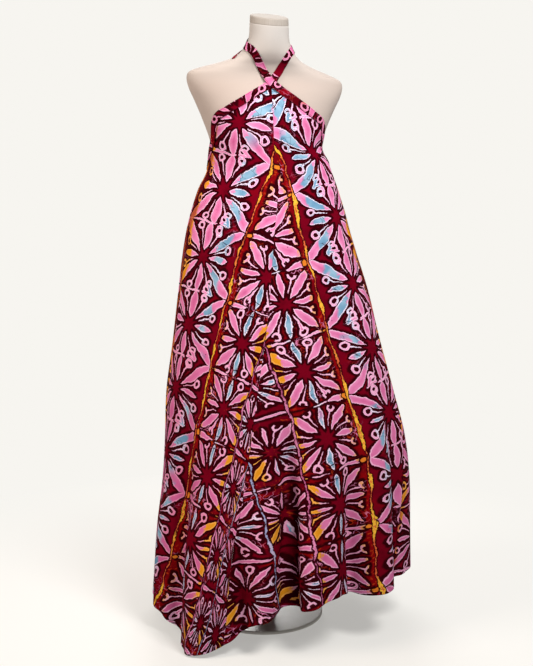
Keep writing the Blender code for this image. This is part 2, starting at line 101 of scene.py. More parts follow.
# Sections of the form: height, half width, middle of the depth, depth in front, depth behind
FORM_SECTIONS = (
    (0.720, 0.150, 0.012, 0.098, 0.110),
    (0.742, 0.163, 0.012, 0.108, 0.120),
    (0.800, 0.167, 0.012, 0.112, 0.122),
    (0.900, 0.148, 0.005, 0.103, 0.104),
    (1.030, 0.119, -0.006, 0.088, 0.080),
    (1.120, 0.123, -0.010, 0.106, 0.088),
    (1.190, 0.132, -0.013, 0.117, 0.096),
    (1.244, 0.151, -0.013, 0.110, 0.099),
    (1.285, 0.169, -0.013, 0.099, 0.098),
    (1.315, 0.183, -0.014, 0.088, 0.094),
    (1.338, 0.188, -0.016, 0.078, 0.086),
    (1.353, 0.181, -0.020, 0.071, 0.078),
    (1.364, 0.155, -0.026, 0.066, 0.070),
    (1.376, 0.116, -0.036, 0.060, 0.063),
    (1.389, 0.083, -0.048, 0.056, 0.057),
    (1.402, 0.066, -0.057, 0.053, 0.053),
    (1.416, 0.055, -0.064, 0.049, 0.049),
    (1.438, 0.0475, -0.068, 0.047, 0.047),
    (1.470, 0.0455, -0.070, 0.045, 0.045),
    (1.488, 0.0445, -0.070, 0.044, 0.044),
)
FIT_END = 1.205
FREE_START = 1.150

# Sections of the hanging cloth: height, reach to the left, right, front and back, and twist
SKIRT_SECTIONS = (
    (0.000, 0.283, 0.364, 0.296, 0.275, -34.0),
    (0.080, 0.279, 0.363, 0.290, 0.272, -33.0),
    (0.240, 0.270, 0.361, 0.271, 0.262, -31.0),
    (0.360, 0.255, 0.361, 0.254, 0.250, -28.0),
    (0.480, 0.247, 0.350, 0.238, 0.234, -24.5),
    (0.594, 0.241, 0.321, 0.223, 0.214, -20.0),
    (0.710, 0.226, 0.289, 0.206, 0.190, -15.5),
    (0.820, 0.212, 0.260, 0.190, 0.165, -11.0),
    (0.935, 0.197, 0.224, 0.174, 0.140, -6.5),
    (1.008, 0.183, 0.202, 0.162, 0.110, -3.5),
    (1.080, 0.160, 0.181, 0.146, 0.090, -1.0),
    (1.120, 0.139, 0.167, 0.138, 0.081, 0.0),
    (1.155, 0.132, 0.155, 0.134, 0.082, 0.0),
    (1.185, 0.136, 0.148, 0.133, 0.086, 0.0),
    (1.215, 0.145, 0.147, 0.131, 0.090, 0.0),
)

# Folds: angle at the top and at the hem, height where it starts, width in degrees, and depth
FOLDS = (
    (-70, -78, 0.95, 9, 0.012),
    (-60, -61, 0.80, 6, -0.022),
    (-40, -44, 0.62, 11, 0.046),
    (-30, -27, 0.40, 6, -0.026),
    (-22, -18, 0.52, 6, 0.014),
    (-8, -7, 0.68, 5, -0.040),
    (4, 1, 0.50, 6, 0.014),
    (12, 13, 0.85, 8, 0.016),
    (22, 26, 0.62, 6, -0.030),
    (36, 42, 0.90, 8, 0.022),
    (52, 55, 0.70, 5, -0.024),
    (66, 72, 0.95, 8, 0.014),
    (84, 88, 0.80, 6, -0.026),
    (100, 104, 0.90, 9, 0.020),
    (118, 122, 0.72, 6, -0.030),
    (134, 138, 0.85, 8, 0.024),
    (150, 153, 0.60, 6, -0.026),
    (168, 170, 0.92, 9, 0.022),
    (186, 188, 0.70, 6, -0.034),
    (204, 206, 0.88, 9, 0.026),
    (222, 224, 0.64, 6, -0.028),
    (238, 240, 0.84, 8, 0.020),
    (256, 260, 0.74, 6, -0.028),
)

# Lines on the dress or the form, as angles and heights
TOP_EDGE = (
    (0, 1.334), (20, 1.295), (40, 1.266), (51, 1.254), (60, 1.235), (70, 1.205),
    (80, 1.178), (92, 1.152), (108, 1.130), (130, 1.117), (155, 1.113), (180, 1.112),
)
EDGE_UNDER_BAND = 0.003
STRAP_LINE = (
    (4.5, 1.3555), (13.5, 1.377), (32, 1.397), (52, 1.409), (80, 1.416),
    (100, 1.4206), (140, 1.437), (180, 1.446), (220, 1.437),
)
NAPE_HEIGHT = 1.446
LEFT_TIE_LINE = (
    (-166, 1.424), (-145, 1.416), (-120, 1.408), (-98, 1.399), (-80, 1.391), (-66, 1.385),
)
BACK_TIE_LINE = ((178, 1.425), (175, 1.390), (174, 1.340), (173.5, 1.290), (173.5, 1.235))
HEM = (
    (-180, 0.095), (-140, 0.075), (-105, 0.085), (-85, 0.078), (-72, 0.050), (-58, 0.010),
    (-45, 0.004), (-34, 0.026), (-18, 0.090), (0, 0.118), (14, 0.142), (28, 0.124),
    (45, 0.126), (62, 0.128), (85, 0.146), (130, 0.125), (180, 0.095),
)
FOLD_HEM_HEIGHT = 0.06


def smooth_step(value):
    """Ease from 0 to 1 while value goes from 0 to 1."""
    value = np.clip(value, 0.0, 1.0)
    return value * value * (3.0 - 2.0 * value)


def smooth_curve(points):
    """Return a function that reads a smooth curve through (position, value) points."""
    points = sorted(points)
    places = np.array([point[0] for point in points], float)
    values = np.array([point[1] for point in points], float)
    order = np.arange(len(points))
    before = np.maximum(order - 1, 0)
    after = np.minimum(order + 1, len(points) - 1)
    slopes = (values[after] - values[before]) / (places[after] - places[before])

    def read(position):
        position = np.clip(np.asarray(position, float), places[0], places[-1])
        index = np.clip(np.searchsorted(places, position, side="left") - 1, 0, len(points) - 2)
        step = places[index + 1] - places[index]
        part = (position - places[index]) / step
        rise = values[index + 1] - values[index]
        pull_start = slopes[index] * step
        pull_end = slopes[index + 1] * step
        cubic = pull_start + pull_end - 2.0 * rise
        square = 3.0 * rise - 2.0 * pull_start - pull_end
        return values[index] + part * (pull_start + part * (square + part * cubic))

    return read


def curves_of(rows):
    """Smooth curves of a table's columns over its first column."""
    columns = list(zip(*rows))
    return [smooth_curve(zip(columns[0], column)) for column in columns[1:]]


form_half_width, form_middle, form_front, form_back = curves_of(FORM_SECTIONS)
skirt_left, skirt_right, skirt_front, skirt_back, dress_twist = curves_of(SKIRT_SECTIONS)
edge_height = smooth_curve([*TOP_EDGE, *((-angle, height) for angle, height in TOP_EDGE[1:])])
hem_height = smooth_curve(HEM)


def wrapped(angle):
    """Bring angles in degrees into the range from -180 to 180."""
    return (angle + 180.0) % 360.0 - 180.0


def unit(vectors):
    """Vectors of length 1."""
    return vectors / np.linalg.norm(vectors, axis=-1, keepdims=True)


def lengths_along(points, axis):
    """Lengths of the steps between neighbouring points of a grid."""
    return np.linalg.norm(np.diff(points, axis=axis), axis=-1)


def leaned(points):
    """Lower the right of the form and the dress on it, and raise the left."""
    share = smooth_step((points[..., 2] - LEAN_START) / (LEAN_FULL - LEAN_START))
    slant = smooth_step((points[..., 2] - SLANT_START) / (SLANT_FULL - SLANT_START))
    moved = points.copy()
    moved[..., 2] -= share * FORM_LEAN * points[..., 0]
    moved[..., 2] += slant * NECK_SLANT * (points[..., 1] - NECK_AXIS)
    return moved


def form_point(angle, height):
    """Points on the skin of the form."""
    angle, height = np.broadcast_arrays(np.asarray(angle, float), np.asarray(height, float))
    turn = np.radians(angle)
    depth = np.where(np.cos(turn) > 0.0, form_front(height), form_back(height))
    x = form_half_width(height) * np.sin(turn)
    y = form_middle(height) - depth * np.cos(turn)
    return leaned(np.stack([x, y, height], -1))


def fold_offset(folds, angle, height, haste=1.0):
    """How far folds or creases move the cloth outwards."""
    total = np.zeros(np.shape(angle))
    for top_angle, hem_angle, start, width, depth in folds:
        down = np.maximum((start - height) / (start - FOLD_HEM_HEIGHT), 0.0)
        centre = top_angle + (hem_angle - top_angle) * np.minimum(down, 1.0)
        away = wrapped(angle - centre) / width
        total = total + depth * smooth_step(haste * down) * np.exp(-away * away)
    return total


def skin_point(angle, height):
    """Points that the cloth lies on: the form above, and the hanging sections below."""
    angle, height = np.broadcast_arrays(np.asarray(angle, float), np.asarray(height, float))
    fit = smooth_step((height - FREE_START) / (FIT_END - FREE_START))[..., None]
    turn = np.radians(angle)
    half_width = 0.5 * (skirt_right(height) + skirt_left(height))
    depth = np.where(np.cos(turn) > 0.0, skirt_front(height), skirt_back(height))
    x = 0.5 * (skirt_right(height) - skirt_left(height)) + half_width * np.sin(turn)
    y = -depth * np.cos(turn)
    level = np.zeros(np.shape(height))
    outward = unit(np.stack([np.sin(turn) / half_width, -np.cos(turn) / depth, level], -1))
    free = np.stack([x, y, height], -1) + outward * fold_offset(FOLDS, angle, height)[..., None]
    hanging = leaned(free)
    return hanging + (form_point(angle, height) - hanging) * fit


def slopes_of(point_at, angle, height):
    """How a surface's points move with the angle, in degrees, and with the height."""
    turn_step, rise_step = 0.05, 0.0005
    across = point_at(angle + turn_step, height) - point_at(angle - turn_step, height)
    up = point_at(angle, height + rise_step) - point_at(angle, height - rise_step)
    return across / (2.0 * turn_step), up / (2.0 * rise_step)


def normal_of(point_at, angle, height):
    """Directions out of a surface."""
    return unit(np.cross(*slopes_of(point_at, angle, height)))


def dress_point(angle, height):
    """Points in the middle of the cloth."""
    out = normal_of(skin_point, angle, height)
    return skin_point(angle, height) + out * CLOTH_TO_FORM


def nearest_place(target, angle, height):
    """Angles and heights of the points on the dress surface that are nearest to the targets."""
    for _ in range(8):
        miss = target - dress_point(angle, height)
        across, up = slopes_of(dress_point, angle, height)
        aa, bb, ab = (across * across).sum(-1), (up * up).sum(-1), (across * up).sum(-1)
        ma, mb = (miss * across).sum(-1), (miss * up).sum(-1)
        spread = aa * bb - ab * ab
        angle = angle + (ma * bb - mb * ab) / spread
        height = height + (mb * aa - ma * ab) / spread
    return angle, height


# Lay of the print on the cloth. The cloth of each half is cut with the print's stripes along
# its side seam, so that they meet in points at the centre seam. MITRE is their angle to it.
MITRE = math.radians(18.75)
CROSSING_HEIGHT = 1.334
SIDE_STRIPE = 0.653
PITCH = 0.163
YELLOW, ROSE, SILVER, ORANGE = -0.050, -0.198, -0.290, 0.150
FLOWER_STRIPE = 0.048
LEAST_LENGTH = 0.002

# Where the yellow line and the flowers beyond it lie on the front as it hangs: height, and
# lengths of cloth from the centre seam. The folds take up cloth between the seam and the rose
# line, which then lies nearer to the seam or farther from it than its even place by a share.
LEFT_LAY = (
    (0.00, 0.310, 0.414),
    (0.087, 0.275, 0.379),
    (0.223, 0.223, 0.327),
    (0.385, 0.178, 0.282),
    (0.564, 0.138, 0.236),
    (0.734, 0.119, 0.211),
    (0.879, 0.092, 0.185),
    (0.988, 0.067, 0.160),
    (1.103, 0.034, 0.131),
    (1.180, 0.004, 0.104),
)
LEFT_SHARES = ((0.0, 0.52), (0.28, 0.48), (0.40, 0.60), (0.50, 0.66), (0.60, 0.80), (0.74, 0.90))
RIGHT_LAY = (
    (0.00, 0.530, 0.700),
    (0.132, 0.464, 0.630),
    (0.255, 0.396, 0.560),
    (0.374, 0.337, 0.477),
    (0.555, 0.252, 0.385),
    (0.733, 0.163, 0.295),
    (0.869, 0.108, 0.226),
    (1.030, 0.050, 0.170),
    (1.180, 0.004, 0.110),
)
RIGHT_SHARES = ((0.0, 1.03), (0.30, 1.06), (0.44, 1.10), (0.53, 1.17), (0.59, 1.29), (0.70, 1.42))
# The left half's marks are twelve flowers on, so that the two halves differ
SIDES = (
    (-1.0, LEFT_LAY, LEFT_SHARES, 12 * PITCH - 0.110),
    (1.0, RIGHT_LAY, RIGHT_SHARES, -0.180),
)
ARC_HEIGHTS = np.linspace(0.0, 1.34, 135)
ARC_STEP = 0.5
ARC_TURNS = np.arange(-100.0, 100.0 + ARC_STEP, ARC_STEP)


def arcs_round(base):
    """Length of cloth, at each height, from a seam at a base angle to each angle beside it."""
    turns, heights = np.meshgrid(ARC_TURNS, ARC_HEIGHTS)
    steps = lengths_along(dress_point(base + dress_twist(heights) + turns, heights), 1)
    lengths = np.concatenate([np.zeros((len(ARC_HEIGHTS), 1)), np.cumsum(steps, axis=1)], axis=1)
    return lengths - lengths[:, len(ARC_TURNS) // 2][:, None]


def read_table(table, turns, heights):
    """Value of a table over heights and turns, between its rows and columns."""
    row = np.clip(heights / (ARC_HEIGHTS[1] - ARC_HEIGHTS[0]), 0, len(ARC_HEIGHTS) - 1.001)
    column = np.clip((turns - ARC_TURNS[0]) / ARC_STEP, 0, len(ARC_TURNS) - 1.001)
    low, left = row.astype(int), column.astype(int)
    up, right = row - low, column - left
    lower = table[low, left] * (1 - right) + table[low, left + 1] * right
    upper = table[low + 1, left] * (1 - right) + table[low + 1, left + 1] * right
    return lower * (1 - up) + upper * up


def seam_lengths(base):
    """Length of the seam from the crossing's height down to each height of the table."""
    steps = lengths_along(dress_point(base + dress_twist(ARC_HEIGHTS), ARC_HEIGHTS), 0)
    climbed = np.concatenate([[0.0], np.cumsum(steps)])
    return np.interp(CROSSING_HEIGHT, ARC_HEIGHTS, climbed) - climbed


def across_to_stripe(stripe, down):
    """Flat length across from the centre seam to a stripe, at a length down the seam."""
    radius = SIDE_STRIPE + down
    sine = math.sin(MITRE) - (stripe + down * math.sin(MITRE)) / radius
    return radius * (MITRE - np.arcsin(np.clip(sine, -1.0, 1.0)))


def stripe_place(across, down):
    """Place across and along the stripes of a point at flat lengths across and down."""
    radius = SIDE_STRIPE + down
    turn = MITRE - across / radius
    stripe = -down * math.sin(MITRE) + radius * (math.sin(MITRE) - np.sin(turn))
    along = down * math.cos(MITRE) + radius * (np.cos(turn) - math.cos(MITRE))
    return stripe, along


def flat_across(across, height, flats, lay, shares):
    """Length across the flat cloth of a place on the front as it hangs."""
    flat_rose, flat_yellow, flat_flower = flats
    yellow, flower = (curve(height) for curve in curves_of(lay))
    above = height > lay[-1][0]
    yellow = np.where(above, flat_yellow, np.maximum(yellow, LEAST_LENGTH))
    flower = np.where(above, flat_flower, flower)
    rose = flat_rose * yellow / flat_yellow * smooth_curve(shares)(height)
    inner = flat_rose + (across - rose) * (flat_yellow - flat_rose) / (yellow - rose)
    middle = across * flat_rose / np.maximum(rose, 1e-6)
    inner = np.where((across < rose) & (rose > 0.0), middle, inner)
    outer = flat_yellow + (across - yellow) * (flat_flower - flat_yellow) / (flower - yellow)
    beyond = flat_flower + (across - flower)
    return np.where(across < yellow, inner, np.where(across < flower, outer, beyond))


def print_lay(base, hung, shift):
    """Function that gives the print's coordinates at places of the front or of the back."""
    arcs = arcs_round(base)
    lengths = seam_lengths(base)

    def place(angle, height):
        turns = wrapped(angle - base - dress_twist(height))
        arc = read_table(arcs, turns, height)
        down = np.interp(height, ARC_HEIGHTS, lengths)
        flats = (
            np.maximum(across_to_stripe(ROSE, down), 0.0),
            np.maximum(across_to_stripe(YELLOW, down), LEAST_LENGTH),
            across_to_stripe(FLOWER_STRIPE, down),
        )
        sides = []
        for side, lay, shares, start in SIDES:
            across = side * arc
            if hung:
                across = flat_across(across, height, flats, lay, shares)
            stripe, along = stripe_place(across, down)
            sides.append(np.stack([stripe, along + start + shift], -1))
        return np.where((turns < 0.0)[..., None], *sides)

    return place


def linear(red, green, blue):
    """Colour in the renderer's numbers, from screen values of 0 to 255."""
    values = []
    for share in (red / 255.0, green / 255.0, blue / 255.0):
        values.append(share / 12.92 if share <= 0.04045 else ((share + 0.055) / 1.055) ** 2.4)
    return (*values, 1.0)


class Term:
    """Number that a material works out at each point of a surface."""

    def __init__(self, kit, socket):
        self.kit = kit
        self.socket = socket

    def __add__(self, other):
        return maths("ADD", self, other)

    def __sub__(self, other):
        return maths("SUBTRACT", self, other)

    def __rsub__(self, other):
        return maths("SUBTRACT", other, self)

    def __mul__(self, other):
        return maths("MULTIPLY", self, other)

    def __truediv__(self, other):
        return maths("DIVIDE", self, other)

    __radd__ = __add__
    __rmul__ = __mul__


class Kit:
    """Nodes of one material."""

    def __init__(self, name):
        self.material = bpy.data.materials.new(name)
        self.material.use_nodes = True
        self.tree = self.material.node_tree
        self.shader = self.tree.nodes["Principled BSDF"]

    def node(self, kind, inputs, **settings):
        """New node with some of its inputs fed and some of its settings changed."""
        made = self.tree.nodes.new(kind)
        for key, value in settings.items():
            setattr(made, key, value)
        for key, value in inputs.items():
            self.feed(made.inputs[key], value)
        return made

    def feed(self, socket, value):
        if isinstance(value, Term):
            value = value.socket
        if isinstance(value, bpy.types.NodeSocket):
            self.tree.links.new(value, socket)
        else:
            socket.default_value = value

    def parts(self, source):
        """The three numbers of a node's vector."""
        made = self.node("ShaderNodeSeparateXYZ", {0: source})
        return tuple(Term(self, socket) for socket in made.outputs)

    def map(self, name):
        """Both numbers of a map that the meshes carry."""
        return self.parts(self.node("ShaderNodeUVMap", {}, uv_map=name).outputs[0])[:2]

    def place(self):
        """Place of a point in the object's own frame."""
        return self.parts(self.node("ShaderNodeTexCoord", {}).outputs["Object"])

    def finish(self, colour, normal, roughness, settings):
        inputs = {"Base Color": colour, "Roughness": roughness, **settings}
        if normal is not None:
            inputs["Normal"] = normal
        for name, value in inputs.items():
            self.feed(self.shader.inputs[name], value)
        return self.material


def maths(operation, *values, clamped=False):
    kit = next(value.kit for value in values if isinstance(value, Term))
    inputs = dict(enumerate(values))
    made = kit.node("ShaderNodeMath", inputs, operation=operation, use_clamp=clamped)
    return Term(kit, made.outputs[0])


absolute, floor, sine, root = (partial(maths, word) for word in ("ABSOLUTE", "FLOOR", "SINE", "SQRT"))
power, smaller, larger, over = (
    partial(maths, word) for word in ("POWER", "MINIMUM", "MAXIMUM", "GREATER_THAN")
)


def clamp(value):
    return maths("ADD", value, 0.0, clamped=True)


def ramp(value, low, high):
    """Even rise from 0 to 1 between two values."""
    inputs = {"Value": value, "From Min": low, "From Max": high}
    return Term(value.kit, value.kit.node("ShaderNodeMapRange", inputs, clamp=True).outputs[0])


def fall(value, low, high):
    """Even fall from 1 to 0 between two values."""
    return 1.0 - ramp(value, low, high)


def texture(kind, x, y, z, inputs, **settings):
    place = x.kit.node("ShaderNodeCombineXYZ", {0: x, 1: y, 2: z}).outputs[0]
    made = x.kit.node(kind, {"Vector": place, **inputs}, **settings)
    return Term(x.kit, made.outputs[0])


def noise(x, y, scale, seed, detail=1.0):
    """Smooth unevenness, mostly between -0.5 and 0.5."""
    inputs = {"Scale": scale, "Detail": detail}
    return (texture("ShaderNodeTexNoise", x, y, seed, inputs, noise_dimensions="3D") - 0.5) * 1.7


def cells(x, y, scale, feature):
    """Distance in cells from the nearest of scattered points, or from the net between them."""
    return texture("ShaderNodeTexVoronoi", x, y, 0.0, {"Scale": scale}, feature=feature)


def blend(first, second, share):
    """Colour between two colours."""
    inputs = {0: share, 6: first, 7: second}
    return share.kit.node("ShaderNodeMix", inputs, data_type="RGBA").outputs[2]


def bump(height, distance, strength=1.0, under=None):
    inputs = {"Strength": strength, "Distance": distance, "Height": height}
    if under is not None:
        inputs["Normal"] = under
    return height.kit.node("ShaderNodeBump", inputs).outputs[0]


# Screen colours of the print
MAROON = linear(114, 0, 24)
DARK_MAROON = linear(88, 0, 17)
CONTOUR = linear(48, 0, 6)
DARK_RED = linear(136, 3, 10)
FLECK_ORANGE = linear(188, 58, 16)
BLOB_ORANGE = linear(232, 130, 40)
PINK = linear(236, 140, 188)
# The deep pinks below are the print's own deeper tone, and also serve as painted shade
DEEP_AND_SHADED_PINK = linear(209, 97, 150)
RIM_PINK = linear(255, 200, 232)
DEEP_AND_SHADED_RIM = linear(232, 142, 176)
SKY = linear(148, 184, 208)
DEEP_SKY = linear(112, 156, 188)
RIM_SKY = linear(246, 228, 250)
AMBER = linear(228, 148, 32)
RIM_AMBER = linear(246, 170, 78)
RUST = linear(168, 62, 58)
RIM_RUST = linear(204, 100, 82)
DARK_BROWN = linear(80, 0, 6)
CRACKLE = linear(48, 18, 46)
LINE_DARK = linear(54, 0, 10)
STRIPE_LINES = (
    (YELLOW, linear(250, 188, 60), linear(222, 104, 56), 0.0030),
    (ROSE, linear(226, 136, 178), linear(196, 98, 144), 0.0012),
    (SILVER, linear(204, 188, 218), linear(158, 160, 200), 0.0014),
    (ORANGE, linear(236, 130, 50), linear(200, 66, 26), 0.0028),
)

# A flower, as lengths of cloth from its centre
PETAL_START = 0.0165
STEM_ANGLES = (68.0, 24.0)
STEM_START = 0.031
STEM_END = 0.068
STEM_WIDTH = 0.0015
RING_PLACE = 0.0745
RING_RADIUS = 0.0080
RING_LINE = 0.0024
RING_ROOM = 0.0128


def petal(along, beside, start, end, half_width):
    """Distance to a petal, slim at the start and round at the end, below 0 inside it."""
    span = end - start
    share = (along - start) / span
    inside = clamp(share)
    half = power(inside, 0.8) * power(1.0 - inside, 0.62) * (half_width * 2.64)
    return absolute(beside) - half + absolute(share - inside) * span


def ring(x, y, radius):
    return absolute(root(x * x + y * y) - radius) - RING_LINE


def stem(along, beside, half_width):
    """Distance to a stem that grows from a point to its half width."""
    share = (along - STEM_START) / (STEM_END - STEM_START)
    inside = clamp(share)
    past = absolute(share - inside) * (STEM_END - STEM_START)
    return absolute(beside) - inside * half_width - 0.0004 + past


def capsule(x, y, start, end, radius):
    """Distance to a bar with round ends."""
    reach_x, reach_y = end[0] - start[0], end[1] - start[1]
    scale = 1.0 / (reach_x * reach_x + reach_y * reach_y)
    part = clamp(((x - start[0]) * reach_x + (y - start[1]) * reach_y) * scale)
    gap_x = x - start[0] - part * reach_x
    gap_y = y - start[1] - part * reach_y
    return root(gap_x * gap_x + gap_y * gap_y) - radius


def flower(down, aside, slim, bare, yellow, wedge, open_ring):
    """Distance to the petals and ringed stems round a bare centre, alike in each quarter."""
    half_width = slim * (yellow * 0.0044 + 0.0104)
    petals = petal(down, aside, PETAL_START, yellow * 0.001 + 0.081, half_width)
    diagonal = (0.7193 - yellow * 0.0832, yellow * 0.0769 + 0.6947)
    for (cosine, slope), start, end, half_width in (
        (diagonal, PETAL_START + 0.001, yellow * 0.040 + 0.098, yellow * 0.0014 + 0.0130),
        ((0.0, 1.0), PETAL_START, 0.076, 0.0103),
    ):
        along, beside = down * cosine + aside * slope, aside * cosine - down * slope
        petals = smaller(petals, petal(along, beside, start, end, slim * half_width))
    petals = petals + bare
    stems = 1.0
    for angle in STEM_ANGLES:
        cosine, slope = math.cos(math.radians(angle)), math.sin(math.radians(angle))
        along, beside = down * cosine + aside * slope, aside * cosine - down * slope
        thick = STEM_WIDTH if angle > 45.0 else wedge * 0.0024 + STEM_WIDTH
        stems = smaller(stems, stem(along, beside, thick))
        past = along - RING_PLACE
        petals = larger(petals, RING_ROOM - root(past * past + beside * beside))
        petals = larger(petals, 0.0020 - stems)
        loop = larger(ring(past, beside, RING_RADIUS), past - 0.002 - (1.0 - open_ring) * 0.05)
        stems = smaller(stems, loop)
    return smaller(petals, stems)


def marks_between(s, t, edge, rose, yellow, broken):
    """Distance to a fan and a cross line between two flowers, and to rings and a ribbon."""
    fan = petal(rose * 0.026 + 0.060 - t, edge, -0.018, 0.062, 0.0050) + yellow * 0.05
    cross = edge - 0.0012 - yellow * 0.0014 + broken * 0.004 + over(t, 0.012) * yellow * 0.05
    below = s - (over(s, 0.0) * PITCH - 0.5 * PITCH)
    rings = smaller(ring(t - 0.030, below - 0.010, 0.0070), ring(t - 0.034, below + 0.024, 0.0070))
    ribbon = smaller(
        capsule(t, below, (0.036, -0.017), (0.046, -0.002), 0.0046),
        capsule(t, below, (0.046, -0.002), (0.022, -0.004), 0.0034),
    )
    return smaller(smaller(fan, cross), smaller(rings, ribbon) + (1.0 - yellow) * 0.02)


def with_blobs(colour, p, q, edge, dyed):
    """Orange blobs where a cross line meets the yellow line."""
    beyond = p - YELLOW + 0.0095
    gap = root(beyond * beyond * 0.5 + edge * edge) + noise(p, q, 130.0, 127.0) * 0.004
    colour = blend(colour, CONTOUR, fall(gap, 0.0066, 0.0084) * dyed)
    return blend(colour, BLOB_ORANGE, fall(gap, 0.0038, 0.0048) * dyed)


def with_lines(colour, p, q, dyed):
    """Lines between the stripes, bright at their edges and darker inside."""
    blobs = clamp(noise(p * 0.2, q, 13.0, 60.0) * 2.4 + 0.22)
    tint = fall(blobs, 0.14, 0.42)
    streak = ramp(noise(p, q, 150.0, 69.0), -0.04, 0.10) * 0.9
    wobble = noise(p, q, 150.0, 80.0) * 0.0030 + noise(p, q, 320.0, 85.0) * 0.0018
    strands = fall(absolute(noise(p * 4.0, q * 0.6, 52.0, 87.0)), 0.02, 0.06)
    strands = strands * ramp(noise(p, q, 22.0, 89.0), -0.02, 0.08)
    for place, first, second, swelling in STRIPE_LINES:
        gap = absolute(p - place) - (blobs * swelling + 0.0009) + wobble
        colour = blend(colour, LINE_DARK, fall(gap, 0.0016, 0.0034) * dyed)
        line = blend(first, second, clamp(tint + fall(gap, -0.0020, -0.0008) * streak))
        colour = blend(colour, line, fall(gap, -0.0003, 0.0004) * (1.0 - strands * 0.85) * dyed)
    return colour


